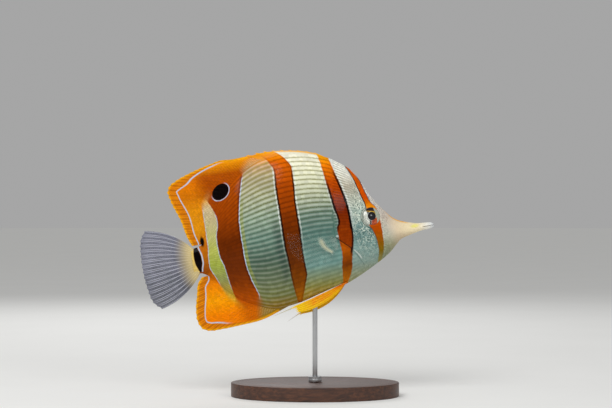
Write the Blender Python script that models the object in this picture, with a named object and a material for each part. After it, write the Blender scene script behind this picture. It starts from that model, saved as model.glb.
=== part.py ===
"""Copperband butterflyfish, a still, life-size model on a display stand.

Metres, +Z up. The fish faces +X and its right side looks towards -Y. Its sizes are given in
millimetres in its own frame: u runs forward along the body, v up and w out to the side. The frame is
then tipped nose up and lifted to its height over the stand.
"""

import math

import bpy
import bmesh
import numpy as np
from mathutils import Matrix, Vector

MM = 0.001

# Pose and clearances
NOSE_UP_DEG = 9.0
AXIS_HEIGHT = 75.5
GAP = 0.3
RIGHT, LEFT = -1, 1

# The body's flesh in side view, from the tip of the snout to the root of the tail
SNOUT_TIP = 73.9
JAW_ROOT = 69.2
SNOUT_ROOT = 56.0
STALK_FRONT_TOP, STALK_FRONT_LOW = -42.9, -42.2
STALK_REAR_TOP, STALK_REAR_LOW = -46.4, -44.8
BACK = (
    (SNOUT_TIP, -0.7),
    (72.4, 0.1),
    (66.0, 0.7),
    (61.6, 1.9),
    (57.0, 3.6),
    (54.4, 5.3),
    (51.1, 9.1),
    (44.9, 18.1),
    (41.1, 26.3),
    (37.1, 32.5),
    (32.5, 36.3),
    (25.7, 40.6),
    (13.6, 44.2),
    (5.0, 45.0),
    (-5.7, 43.7),
    (-17.7, 38.5),
    (-29.6, 27.2),
    (-39.0, 12.6),
    (-42.6, 6.6),
    (-47.0, 5.4),
)
BELLY = (
    (SNOUT_TIP, -2.3),
    (72.4, -2.9),
    (66.8, -3.5),
    (61.5, -4.7),
    (57.0, -6.0),
    (54.4, -8.1),
    (50.3, -11.8),
    (41.9, -16.8),
    (31.0, -22.1),
    (26.0, -24.0),
    (12.5, -26.9),
    (2.0, -29.5),
    (-8.4, -30.6),
    (-22.8, -25.7),
    (-31.9, -19.2),
    (-40.6, -9.6),
    (-44.6, -7.3),
    (-47.0, -7.0),
)

# The flesh across: the widest half-width, how high up it lies, and how full the section is
HALF_WIDTH = (
    (SNOUT_TIP, 0.8),
    (72.0, 1.5),
    (66.0, 1.9),
    (56.0, 3.6),
    (44.0, 6.7),
    (38.0, 8.2),
    (30.0, 10.0),
    (18.0, 11.2),
    (6.0, 11.2),
    (-18.0, 8.0),
    (-30.0, 5.3),
    (-40.0, 3.1),
    (-47.0, 2.2),
)
WIDEST_SHARE = ((SNOUT_TIP, 0.5), (56.0, 0.48), (40.0, 0.42), (0.0, 0.42), (-47.0, 0.5))
UPPER_FULLNESS = ((SNOUT_TIP, 0.5), (50.0, 0.55), (30.0, 0.68), (0.0, 0.8), (-47.0, 0.6))
LOWER_FULLNESS = ((SNOUT_TIP, 0.5), (50.0, 0.62), (20.0, 0.55), (-10.0, 0.72), (-47.0, 0.6))
# Half the width of the narrow flats on which the fins stand
BACK_FLAT = ((31.0, 0.0), (24.0, 0.9), (0.0, 1.2), (-30.0, 1.1), (-42.0, 0.8), (-47.0, 0.6))
BELLY_FLAT = ((3.0, 0.0), (-5.0, 0.9), (-30.0, 1.1), (-42.0, 0.8), (-47.0, 0.6))

# The gill opening, as share of the height against the place along the body, and the gill cover
GILL_OPENING = (
    (0.0, 38.5),
    (0.16, 35.3),
    (0.25, 32.3),
    (0.34, 26.3),
    (0.42, 25.0),
    (0.6, 26.0),
    (1.0, 29.4),
)
COVER_FRONT = (
    (0.06, 40.0),
    (0.09, 42.2),
    (0.12, 42.0),
    (0.2, 39.4),
    (0.32, 37.2),
    (0.42, 36.2),
    (0.47, 35.0),
    (0.5, 32.8),
    (0.52, 31.0),
)
COVER_LOW, COVER_HIGH = 0.08, 0.5
COVER_THICK = 1.3
FLAP_LIFT, FLAP_REACH = 0.45, 9.0

# Eye, orbit and nostrils
EYE_AT = (43.9, 7.7)
EYE_RADIUS, EYE_DOME_RADIUS, EYE_DEPTH = 4.5, 7.6, 1.9
PUPIL_RADIUS, PUPIL_LIFT = 2.1, 0.15
ORBIT_RIM = 0.62
NOSTRILS = ((49.7, 6.9, 0.5), (51.2, 5.6, 0.4))
NOSTRIL_DEPTH = 0.9

# Mouth
MOUTH_SHARE = 0.47
LIP_SWELL, LIP_REACH = 0.45, 3.0

# Dorsal fin
SPINES = 9
SPINE_BASE_FRONT, SPINE_STEP = 24.4, 3.65
SPINE_RAKE_FRONT, SPINE_RAKE_REAR = 3.6, 8.2
SPINE_HALF_WIDTH = 0.55
SPINY_MARGIN = (
    (27.0, 40.9),
    (21.0, 43.4),
    (13.8, 45.7),
    (7.4, 47.0),
    (-1.0, 48.0),
    (-7.0, 48.2),
    (-14.0, 47.5),
)
SOFT_DORSAL_RAYS = 29
SOFT_DORSAL_BASE = (-5.9, -42.2)
SOFT_DORSAL_MARGIN = (
    (-14.0, 47.3),
    (-21.5, 46.7),
    (-26.5, 47.0),
    (-31.7, 46.0),
    (-42.2, 43.3),
    (-50.3, 40.3),
    (-53.6, 38.4),
    (-55.1, 35.6),
    (-54.4, 31.0),
    (-50.9, 20.7),
    (-48.5, 10.6),
    (-47.0, 6.9),
)

# Anal fin
ANAL_SPINES, ANAL_RAYS = 3, 20
ANAL_BASE = (-4.2, -41.4)
ANAL_MARGIN = (
    (-9.5, -32.3),
    (-16.7, -34.7),
    (-29.5, -36.1),
    (-39.7, -36.6),
    (-44.8, -36.5),
    (-48.4, -34.9),
    (-50.3, -31.0),
    (-50.3, -26.0),
    (-48.5, -17.7),
    (-46.9, -12.0),
    (-44.6, -9.3),
)

# Tail fin
TAIL_RAYS = 17
TAIL_MARGIN = (
    (-66.8, -21.9),
    (-70.3, -18.6),
    (-72.6, -10.5),
    (-73.4, -2.0),
    (-73.2, 7.0),
    (-71.8, 14.5),
    (-69.4, 18.0),
)
TAIL_BOW = 2.5

# Thickness of the fins, as half-thicknesses
MEMBRANE, RAY_CREST, SPINE_CREST = 0.27, 0.24, 0.36

# Pectoral fins
PECTORAL_RAYS = 15
PECTORAL_ROOT_TOP, PECTORAL_ROOT_LOW = (23.7, 0.2), (24.5, -4.8)
PECTORAL_TOP_DEG, PECTORAL_LOW_DEG = 14.0, -52.0
PECTORAL_LENGTH, PECTORAL_LOW_SHARE = 26.0, 0.5
PECTORAL_SPLAY_DEG = 24.0
PECTORAL_ROOT_HALF = 0.7

# Pelvic fins: each has a spine, a long first ray and four more
PELVIC_ROOT_REAR, PELVIC_ROOT_FRONT = 23.6, 27.0
PELVIC_OUT, PELVIC_LEAN = 3.3, 0.6
PELVIC_LENGTH = 26.0
# (drop below the body's axis in degrees, filament length, depth along the middle, depth at the end)
PELVIC_POSE = {RIGHT: (14.4, 38.3, 3.0, 4.2), LEFT: (25.2, 33.2, 3.7, 1.2)}

# Display stand
BASE_LENGTH, BASE_WIDTH, BASE_THICK = 84.0, 56.0, 7.0
BASE_BEVEL = 1.5
ROD_X = 14.0
ROD_RADIUS = 1.25
ROD_IN_BASE, ROD_IN_BODY = 4.5, 9.0
COLLAR_RADIUS, COLLAR_HEIGHT = 3.4, 2.6


def graph(knots):
    """A smooth curve through (place, value) knots that never overshoots them."""
    places, values = np.array(sorted(knots), float).T
    steps = np.diff(places)
    slopes = np.diff(values) / steps
    tangents = np.concatenate([slopes[:1], np.zeros(len(slopes) - 1), slopes[-1:]])
    for i in range(1, len(slopes)):
        before, after = slopes[i - 1], slopes[i]
        if before * after > 0:
            tangents[i] = 2 * before * after / (before + after)

    def value_at(place):
        place = np.clip(place, places[0], places[-1])
        i = np.clip(np.searchsorted(places, place) - 1, 0, len(steps) - 1)
        f = (place - places[i]) / steps[i]
        start = values[i] * (1 + 2 * f) * (1 - f) ** 2 + values[i + 1] * f * f * (3 - 2 * f)
        bend = tangents[i] * f * (1 - f) ** 2 - tangents[i + 1] * f * f * (1 - f)
        return start + bend * steps[i]

    return value_at


def trace(points):
    """A smooth line through points in the side view, read by its share of length."""
    points = np.array(points, float)
    chords = np.linalg.norm(np.diff(points, axis=0), axis=1)
    knots = np.concatenate([[0.0], np.cumsum(chords)])
    tangents = np.gradient(points, knots, axis=0)
    samples = []
    for i, chord in enumerate(chords):
        for f in np.linspace(0, 1, 24, endpoint=False):
            samples.append(
                points[i] * (1 + 2 * f) * (1 - f) ** 2
                + points[i + 1] * f * f * (3 - 2 * f)
                + tangents[i] * chord * f * (1 - f) ** 2
                - tangents[i + 1] * chord * f * f * (1 - f)
            )
    samples = np.array(samples + [points[-1]])
    run = np.concatenate([[0.0], np.cumsum(np.linalg.norm(np.diff(samples, axis=0), axis=1))])

    def point_at(share):
        return np.array([np.interp(share * run[-1], run, samples[:, k]) for k in range(2)])

    return point_at


def ease(value, low, high):
    """0 below low, 1 above high, and a smooth rise between them."""
    f = np.clip((value - low) / (high - low), 0, 1)
    return f * f * (3 - 2 * f)


def mix(a, b, share):
    """The value that lies a share of the way from a to b."""
    return a + (b - a) * share


back_at, belly_at = graph(BACK), graph(BELLY)
half_width_at, widest_share_at = graph(HALF_WIDTH), graph(WIDEST_SHARE)
upper_fullness_at, lower_fullness_at = graph(UPPER_FULLNESS), graph(LOWER_FULLNESS)
back_flat_at, belly_flat_at = graph(BACK_FLAT), graph(BELLY_FLAT)
gill_opening_at, cover_front_at = graph(GILL_OPENING), graph(COVER_FRONT)
spiny_margin_at = graph(SPINY_MARGIN)


def flesh_half_width(u, share):
    """Half the body's width at a place along it and a share of its height."""
    widest = widest_share_at(u)
    if share >= widest:
        away, flat, fullness = (share - widest) / (1 - widest), back_flat_at(u), upper_fullness_at(u)
    else:
        away, flat, fullness = (widest - share) / widest, belly_flat_at(u), lower_fullness_at(u)
    return flat + (half_width_at(u) - flat) * max(0.0, 1 - away * away) ** fullness


def flesh_height(u, share):
    """The height in the side view at a share of the body's depth."""
    return mix(belly_at(u), back_at(u), share)


def share_of_height(u, v):
    """The share of the body's depth at a height in the side view."""
    return (v - belly_at(u)) / (back_at(u) - belly_at(u))


def head_half_width(u, share):
    """The head's half-width, with the gill cover's hind edge lifted off the trunk."""
    flap = ease(share, 0.03, 0.16) * (1 - ease(share, 0.5, 0.8))
    near_edge = 1 - ease(u - gill_opening_at(share), 0.0, FLAP_REACH)
    return flesh_half_width(u, share) + FLAP_LIFT * flap * near_edge


def body_point(u, share, side, lift=0.0, width=flesh_half_width):
    """A point of the skin, moved out sideways by lift."""
    return Vector((u, side * (width(u, share) + lift), flesh_height(u, share)))


def body_normal(u, share, side):
    """The skin's outward direction."""
    step_u, step_share = 0.5, 0.01
    along = body_point(u + step_u, share, side) - body_point(u - step_u, share, side)
    up = body_point(u, share + step_share, side) - body_point(u, share - step_share, side)
    normal = along.cross(up).normalized()
    return normal if normal.y * side > 0 else -normal


def material(name, colour, roughness=0.45, metallic=0.0):
    """A plain finish for one kind of part."""
    finish = bpy.data.materials.new(name)
    finish.use_nodes = True
    shader = finish.node_tree.nodes["Principled BSDF"]
    shader.inputs["Base Color"].default_value = (*colour, 1.0)
    shader.inputs["Roughness"].default_value = roughness
    shader.inputs["Metallic"].default_value = metallic
    return finish


def add_mesh(name, built, finish, parent, sharp_deg=40.0):
    """Makes an object from a bmesh in millimetres."""
    bmesh.ops.recalc_face_normals(built, faces=built.faces)
    bmesh.ops.scale(built, vec=(MM, MM, MM), verts=built.verts)
    data = bpy.data.meshes.new(name)
    built.to_mesh(data)
    built.free()
    data.shade_smooth()
    data.set_sharp_from_angle(angle=math.radians(sharp_deg))
    data.materials.append(finish)
    made = bpy.data.objects.new(name, data)
    bpy.context.scene.collection.objects.link(made)
    made.parent = parent
    return made


def closed_shell(near, far):
    """A closed mesh between two like grids of points, split alike on both and joined at their rims."""
    columns, rows = len(near), len(near[0])
    built, known = bmesh.new(), {}

    def corner(point):
        key = tuple(round(float(x), 4) for x in point)
        if key not in known:
            known[key] = built.verts.new(key)
        return known[key]

    def triangle(*points):
        corners = [corner(p) for p in points]
        if len(set(corners)) == 3 and not built.faces.get(corners):
            built.faces.new(corners)

    def quad(a, b, c, d):
        triangle(a, b, c)
        triangle(a, c, d)

    for i in range(columns - 1):
        for j in range(rows - 1):
            cell = ((i, j), (i + 1, j), (i + 1, j + 1), (i, j + 1))
            a, b, c, d = (near[p][q] for p, q in cell)
            if math.dist(a, c) > math.dist(b, d):
                cell = cell[1:] + cell[:1]
            quad(*(near[p][q] for p, q in cell))
            quad(*(far[p][q] for p, q in cell))
    rim = [(i, 0) for i in range(columns)] + [(columns - 1, j) for j in range(1, rows)]
    rim += [(i, rows - 1) for i in range(columns - 2, -1, -1)]
    rim += [(0, j) for j in range(rows - 2, -1, -1)]
    for (i, j), (k, m) in zip(rim, rim[1:]):
        quad(near[i][j], near[k][m], far[k][m], far[i][j])
    return built


def median_shell(grid):
    """A closed mesh, alike on both sides, from a grid of (u, v, half-width)."""
    right = [[(u, -w if w > 0.01 else 0.0, v) for u, v, w in column] for column in grid]
    left = [[(u, w if w > 0.01 else 0.0, v) for u, v, w in column] for column in grid]
    return closed_shell(right, left)


def flesh_shares(rows):
    """Shares of the height, closer together near the back and the belly."""
    return [(1 - math.cos(math.pi * j / rows)) / 2 for j in range(rows + 1)]


def flesh_block(rear, front, columns, shares, width=flesh_half_width):
    """A length of the body between two cuts, each a function of the share of height."""
    grid = []
    for i in range(columns + 1):
        column = []
        for share in shares:
            u = mix(rear(share), front(share), i / columns)
            column.append((u, flesh_height(u, share), width(u, share)))
        grid.append(column)
    return median_shell(grid)


def jaw_half_width(u, share):
    """The snout's half-width, swelling into a lip beside the mouth and rounding off at the tip."""
    lip = LIP_SWELL * ease(u, SNOUT_TIP - LIP_REACH, SNOUT_TIP - 0.8)
    near_mouth = 1 - ease(abs(share - MOUTH_SHARE), 0.12, 0.34)
    rounding = math.sqrt(max(0.0, 1 - ease(u, SNOUT_TIP - 0.9, SNOUT_TIP + 0.25) ** 2))
    return (flesh_half_width(u, share) + lip * near_mouth) * max(rounding, 0.3)


def make_head(pose, skin, snout_skin):
    """The head with its eye sockets, nostrils and gill-cover seats, the snout and the two jaws."""
    shares = flesh_shares(18)
    built = flesh_block(
        gill_opening_at, lambda share: SNOUT_ROOT, 20, shares, head_half_width
    )
    head = add_mesh("head", built, skin, pose)
    snout = flesh_block(
        lambda share: JAW_ROOT + GAP, lambda share: SNOUT_ROOT + GAP, 7, flesh_shares(10)
    )
    add_mesh("snout", snout, snout_skin, pose)
    half_mouth = GAP / 2 / (back_at(JAW_ROOT) - belly_at(JAW_ROOT))
    spread = flesh_shares(5)
    for name, low, high in (
        ("jaw_lower", 0.0, MOUTH_SHARE - half_mouth),
        ("jaw_upper", MOUTH_SHARE + half_mouth, 1.0),
    ):
        jaw = flesh_block(
            lambda share: JAW_ROOT + 2 * GAP,
            lambda share: SNOUT_TIP,
            6,
            [mix(low, high, share) for share in spread],
            jaw_half_width,
        )
        add_mesh(name, jaw, snout_skin, pose)
    return head


def cover_grids(side, grow):
    """The outer and inner faces of a gill cover; grow widens it into the cutter of its seat."""
    columns, rows = 6, 12
    low, high = COVER_LOW - grow * 0.012, COVER_HIGH + grow * 0.012
    outer, inner = [], []
    for i in range(columns + 1):
        outer_column, inner_column = [], []
        for j in range(rows + 1):
            share = mix(low, high, j / rows)
            rear = gill_opening_at(share) - grow * 4
            front = cover_front_at(share) + grow
            u = mix(rear, front, i / columns)
            reach = grow * 4
            outer_column.append(body_point(u, share, side, reach, head_half_width))
            inner_column.append(body_point(u, share, side, -COVER_THICK - grow, head_half_width))
        outer.append(outer_column)
        inner.append(inner_column)
    return outer, inner


def make_gill_covers(pose, head, skin):
    """A thin plate on each cheek, let into a seat in the head."""
    for side, name in ((RIGHT, "gill_cover_right"), (LEFT, "gill_cover_left")):
        add_mesh(name, closed_shell(*cover_grids(side, 0.0)), skin, pose)
        seat = add_mesh(f"{name}_seat", closed_shell(*cover_grids(side, GAP)), skin, pose)
        carve(head, seat)


def carve(target, cutter, operation="DIFFERENCE"):
    """Cuts a helper out of a part, or joins it on, and hides the helper."""
    cutter.hide_render = True
    cutter.display_type = "WIRE"
    change = target.modifiers.new(cutter.name, "BOOLEAN")
    change.operation = operation
    change.solver = "EXACT"
    change.object = cutter


def turned(profile, sides):
    """A closed mesh turned about Z from (radius, height) points that start and end on the axis."""
    built = bmesh.new()
    ring = [built.verts.new((radius, 0.0, height)) for radius, height in profile]
    edges = [built.edges.new(pair) for pair in zip(ring, ring[1:])]
    bmesh.ops.spin(
        built,
        geom=ring + edges,
        cent=(0, 0, 0),
        axis=(0, 0, 1),
        angle=2 * math.pi,
        steps=sides,
        use_merge=True,
    )
    bmesh.ops.remove_doubles(built, verts=built.verts, dist=0.001)
    return built


def facing(point, direction):
    """The transform that puts a turned piece at a point with its axis along a direction."""
    turn = direction.to_track_quat("Z", "Y").to_matrix().to_4x4()
    return Matrix.Translation(point * MM) @ turn


def make_eyes(pose, head, glassy, skin):
    """The eyes, their sockets and the raised rims of the orbits."""
    u, v = EYE_AT
    share = share_of_height(u, v)
    dome_height = EYE_DOME_RADIUS - math.sqrt(EYE_DOME_RADIUS**2 - EYE_RADIUS**2)

    def dome(radius):
        return math.sqrt(EYE_DOME_RADIUS**2 - radius**2) - EYE_DOME_RADIUS + dome_height

    for side, name in ((RIGHT, "right"), (LEFT, "left")):
        place = facing(body_point(u, share, side), body_normal(u, share, side))
        rim = bmesh.new()
        bmesh.ops.create_circle(rim, segments=8, radius=ORBIT_RIM)
        bmesh.ops.rotate(rim, matrix=Matrix.Rotation(math.pi / 2, 3, "X"), verts=rim.verts)
        bmesh.ops.translate(rim, vec=(EYE_RADIUS + 0.45, 0, -0.15), verts=rim.verts)
        bmesh.ops.spin(
            rim,
            geom=rim.verts[:] + rim.edges[:],
            cent=(0, 0, 0),
            axis=(0, 0, 1),
            angle=2 * math.pi,
            steps=28,
            use_merge=True,
        )
        bmesh.ops.remove_doubles(rim, verts=rim.verts, dist=0.001)
        ring = add_mesh(f"orbit_rim_{name}", rim, skin, pose)
        ring.matrix_local = place
        carve(head, ring, "UNION")
        well = turned(
            (
                (0, -EYE_DEPTH - GAP),
                (EYE_RADIUS - 0.5 + GAP, -EYE_DEPTH - GAP),
                (EYE_RADIUS + GAP, -0.4),
                (EYE_RADIUS + GAP, 4.0),
                (0, 4.0),
            ),
            28,
        )
        socket = add_mesh(f"eye_socket_{name}", well, skin, pose)
        socket.matrix_local = place
        carve(head, socket)
        profile = [(0, dome(0) + PUPIL_LIFT), (PUPIL_RADIUS * 0.6, dome(PUPIL_RADIUS * 0.6) + PUPIL_LIFT)]
        profile += [(PUPIL_RADIUS, dome(PUPIL_RADIUS) + PUPIL_LIFT)]
        profile += [(PUPIL_RADIUS + 0.2, dome(PUPIL_RADIUS + 0.2))]
        profile += [(radius, dome(radius)) for radius in (3.1, 3.9, EYE_RADIUS)]
        profile += [(EYE_RADIUS, -0.4), (EYE_RADIUS - 0.5, -EYE_DEPTH), (0, -EYE_DEPTH)]
        eye = add_mesh(f"eye_{name}", turned(profile, 28), glassy, pose)
        eye.matrix_local = place
        for k, (nostril_u, nostril_v, radius) in enumerate(NOSTRILS):
            nostril_share = share_of_height(nostril_u, nostril_v)
            pit = turned(
                ((0, -NOSTRIL_DEPTH), (radius * 0.7, -NOSTRIL_DEPTH), (radius, 1.5), (0, 1.5)), 8
            )
            bore = add_mesh(f"nostril_{name}_{k + 1}", pit, skin, pose)
            bore.matrix_local = facing(
                body_point(nostril_u, nostril_share, side),
                body_normal(nostril_u, nostril_share, side),
            )
            carve(head, bore)


def make_trunk(pose, skin):
    """The trunk behind the gill opening, and the stalk of the tail."""
    trunk = flesh_block(
        lambda share: mix(STALK_FRONT_LOW, STALK_FRONT_TOP, share) + GAP,
        lambda share: gill_opening_at(share) - GAP,
        30,
        flesh_shares(18),
    )
    stalk = flesh_block(
        lambda share: mix(STALK_REAR_LOW, STALK_REAR_TOP, share),
        lambda share: mix(STALK_FRONT_LOW, STALK_FRONT_TOP, share),
        3,
        flesh_shares(10),
    )
    add_mesh("tail_stalk", stalk, skin, pose)
    return add_mesh("trunk", trunk, skin, pose)


def soft_columns(rays, inset=0.012):
    """(share, crest, reach) of a fin's columns: every ray, and the membrane between two rays."""
    columns = []
    for k in range(2 * rays - 1):
        is_ray = k % 2 == 0
        columns.append((k / (2 * rays - 2), RAY_CREST if is_ray else 0.0, 1.0 if is_ray else 1 - inset))
    return columns


def fin_grid(columns, rows, base, margin, base_half, bow=lambda share: 0.0):
    """A median fin from columns that run from its base to its margin."""
    grid = []
    for share, crest, reach in columns:
        root, tip = base(share), margin(share)
        across = np.array([-(tip - root)[1], (tip - root)[0]]) / np.linalg.norm(tip - root)
        column = []
        for j in range(rows + 1):
            along = j / rows * reach
            u, v = mix(root, tip, along) + across * bow(share) * 4 * along * (1 - along)
            taper = (1 - along) ** 1.6
            half = mix(MEMBRANE, base_half(share), taper)
            column.append((u, v, half + crest * ease(along, 0.0, 0.15)))
        grid.append(column)
    return grid


def contour_base(edge_at, front, rear, direction):
    """A fin's base line along the back or the belly, kept a gap off the flesh."""

    def base(share):
        u = mix(front, rear, share)
        step = 0.2
        tangent = np.array([2 * step, edge_at(u + step) - edge_at(u - step)])
        normal = np.array([-tangent[1], tangent[0]]) / np.linalg.norm(tangent) * direction
        return np.array([u, edge_at(u)]) + normal * GAP

    return base


def make_spiny_dorsal(pose, skin):
    """The front of the dorsal fin, its nine spines folded back along the back."""
    rear_base = SPINE_BASE_FRONT - SPINE_STEP * (SPINES - 1)
    base = contour_base(back_at, SPINE_BASE_FRONT + 0.8, rear_base - 1.0, 1)
    run = SPINE_BASE_FRONT + 0.8 - (rear_base - 1.0)

    def margin(share):
        rake = mix(SPINE_RAKE_FRONT, SPINE_RAKE_REAR, share)
        u = SPINE_BASE_FRONT + 0.8 - run * share - rake
        return np.array([u, spiny_margin_at(u)])

    columns = [(0.0, 0.0, 0.35)]
    for k in range(SPINES):
        share = (0.8 + SPINE_STEP * k) / run
        flank = SPINE_HALF_WIDTH / run
        columns += [(share - flank, 0.0, 0.9), (share, SPINE_CREST, 1.0), (share + flank, 0.0, 0.92)]
        columns.append((share + SPINE_STEP / 2 / run, 0.0, 0.8))
    columns[-1] = (1.0, 0.0, 0.95)
    grid = fin_grid(columns, 4, base, margin, lambda share: back_flat_at(base(share)[0]))
    add_mesh("dorsal_fin_spines", median_shell(grid), skin, pose)


def make_soft_dorsal(pose, skin):
    """The hind part of the dorsal fin, with its soft rays."""
    base = contour_base(back_at, *SOFT_DORSAL_BASE, 1)
    margin = trace(SOFT_DORSAL_MARGIN)
    grid = fin_grid(
        soft_columns(SOFT_DORSAL_RAYS), 6, base, margin, lambda share: back_flat_at(base(share)[0])
    )
    add_mesh("dorsal_fin_soft", median_shell(grid), skin, pose)


def make_anal(pose, skin):
    """The anal fin, with three short spines before its soft rays."""
    base = contour_base(belly_at, *ANAL_BASE, -1)
    margin = trace(ANAL_MARGIN)
    columns = []
    for k, (share, crest, reach) in enumerate(soft_columns(ANAL_SPINES + ANAL_RAYS)):
        is_spine = k < 2 * ANAL_SPINES
        if is_spine:
            crest = SPINE_CREST if k % 2 == 0 else 0.0
            reach = 1.0 if k % 2 == 0 else 0.82
        if k == 0:
            reach = 0.5
        columns.append((share, crest, reach))
    grid = fin_grid(columns, 6, base, margin, lambda share: belly_flat_at(base(share)[0]))
    add_mesh("anal_fin", median_shell(grid), skin, pose)


def make_tail(pose, skin):
    """The tail fin, a fan of rays from the stalk."""
    margin = trace(TAIL_MARGIN)

    def base(share):
        u = mix(STALK_REAR_LOW, STALK_REAR_TOP, share)
        return np.array([u - GAP, flesh_height(u, share)])

    def base_half(share):
        return flesh_half_width(mix(STALK_REAR_LOW, STALK_REAR_TOP, share), share)

    def bow(share):
        return -TAIL_BOW * (2 * share - 1)

    grid = fin_grid(soft_columns(TAIL_RAYS), 7, base, margin, base_half, bow)
    add_mesh("tail_fin", median_shell(grid), skin, pose)


def make_pectorals(pose, skin):
    """The see-through fins behind the gill covers, each a fan of rays swept back and out."""
    rows = 6
    for side, name in ((RIGHT, "pectoral_fin_right"), (LEFT, "pectoral_fin_left")):
        outer, inner = [], []
        for share, crest, reach in soft_columns(PECTORAL_RAYS, 0.02):
            root_u = mix(PECTORAL_ROOT_TOP[0], PECTORAL_ROOT_LOW[0], share)
            root_v = mix(PECTORAL_ROOT_TOP[1], PECTORAL_ROOT_LOW[1], share)
            height_share = share_of_height(root_u, root_v)
            normal = body_normal(root_u, height_share, side)
            skin_point = body_point(root_u, height_share, side)
            fan = math.radians(mix(PECTORAL_TOP_DEG, PECTORAL_LOW_DEG, share))
            splay = math.radians(PECTORAL_SPLAY_DEG)
            backward = Vector((-math.cos(splay), side * math.sin(splay), 0.0))
            direction = backward * math.cos(fan) + Vector((0, 0, 1)) * math.sin(fan)
            outward = Vector((math.sin(splay), side * math.cos(splay), 0.0))
            length = PECTORAL_LENGTH * mix(1.0, PECTORAL_LOW_SHARE, ease(share, 0.15, 1.0)) * reach
            outer_column, inner_column = [], []
            for j in range(rows + 1):
                along = j / rows
                settled = ease(along, 0.0, 0.3)
                centre = skin_point + normal * (GAP + 0.05) + direction * length * along
                root_half = Vector((PECTORAL_ROOT_HALF, 0, 0))
                root_half -= normal * root_half.dot(normal)
                half = MEMBRANE + crest * ease(along, 0.1, 0.3)
                half_vector = root_half * (1 - settled) + outward * half * settled
                outer_column.append(centre + half_vector)
                inner_column.append(centre - half_vector)
            outer.append(outer_column)
            inner.append(inner_column)
        add_mesh(name, closed_shell(outer, inner), skin, pose)


def belly_under(u, w):
    """The height of the belly's surface at a place along the body and a distance from its middle."""
    share, step = 0.0, 0.001
    while flesh_half_width(u, share) < w:
        share += step
    return flesh_height(u, share)


def pelvic_columns(filament):
    """(share, crest, length) across a pelvic fin: a spine, a long first ray and four more."""
    elements, flank = 6, 0.05
    columns = []
    for k in range(elements):
        share = k / (elements - 1)
        if k == 1:
            columns.append((share - flank, 0.0, PELVIC_LENGTH))
            columns.append((share, RAY_CREST, filament))
            columns.append((share + flank, 0.0, PELVIC_LENGTH))
        else:
            columns.append((share, RAY_CREST if k else SPINE_CREST, PELVIC_LENGTH))
        if k < elements - 1:
            columns.append((share + 0.5 / (elements - 1), 0.0, PELVIC_LENGTH * 0.95))
    return columns


def pelvic_half(run, crest):
    """Half the thickness of a pelvic fin, from its root to its tip."""
    return MEMBRANE + 0.5 * (1 - run) ** 3 + crest * (1 - 0.5 * run)


def pelvic_out(run):
    """How far a pelvic fin lies from the fish's middle, from its root to its tip."""
    return PELVIC_OUT - PELVIC_LEAN * run


def make_pelvics(pose, skin):
    """The pelvic fins, folded back under the belly, the left one hanging lower."""
    rows = 7
    inside = PELVIC_OUT - pelvic_half(0.0, SPINE_CREST)
    start = np.array([PELVIC_ROOT_REAR, belly_under(PELVIC_ROOT_REAR, inside) - GAP])
    for side, name in ((RIGHT, "pelvic_fin_right"), (LEFT, "pelvic_fin_left")):
        drop_deg, filament, middle_depth, end_depth = PELVIC_POSE[side]
        drop = math.radians(drop_deg)
        backward = np.array([-math.cos(drop), -math.sin(drop)])
        downward = np.array([math.sin(drop), -math.cos(drop)])

        def sag(distance):
            run = min(1.0, distance / PELVIC_LENGTH)
            u, v = start + backward * distance
            near = pelvic_out(run) - pelvic_half(run, SPINE_CREST)
            return max(0.0, v - belly_under(u, near) + GAP)

        outer, inner = [], []
        for share, crest, length in pelvic_columns(filament):
            root_u = mix(PELVIC_ROOT_REAR, PELVIC_ROOT_FRONT, share)
            root = np.array([root_u, belly_under(root_u, inside) - GAP])
            distances = [min(length, PELVIC_LENGTH) * j / (rows - 1) for j in range(rows)]
            distances.append(max(length, PELVIC_LENGTH))
            if length <= PELVIC_LENGTH:
                distances = [length * j / rows for j in range(rows + 1)]
            outer_column, inner_column = [], []
            for distance in distances:
                run = min(1.0, distance / PELVIC_LENGTH)
                depth = middle_depth * 4 * run * (1 - run) + end_depth * run
                u, v = mix(root, start, run) + backward * distance + downward * depth * share
                half = pelvic_half(run, crest)
                outer_column.append((u, side * (pelvic_out(run) + half), v - sag(distance)))
                inner_column.append((u, side * (pelvic_out(run) - half), v - sag(distance)))
            outer.append(outer_column)
            inner.append(inner_column)
        add_mesh(name, closed_shell(outer, inner), skin, pose)


def round_bar(name, radius, low, high, x, finish, sides=16):
    """An upright round bar, centred over y = 0."""
    built = bmesh.new()
    bmesh.ops.create_cone(
        built, cap_ends=True, segments=sides, radius1=radius, radius2=radius, depth=high - low
    )
    bar = add_mesh(name, built, finish, None)
    bar.location = (x * MM, 0, (low + high) / 2 * MM)
    return bar


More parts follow.
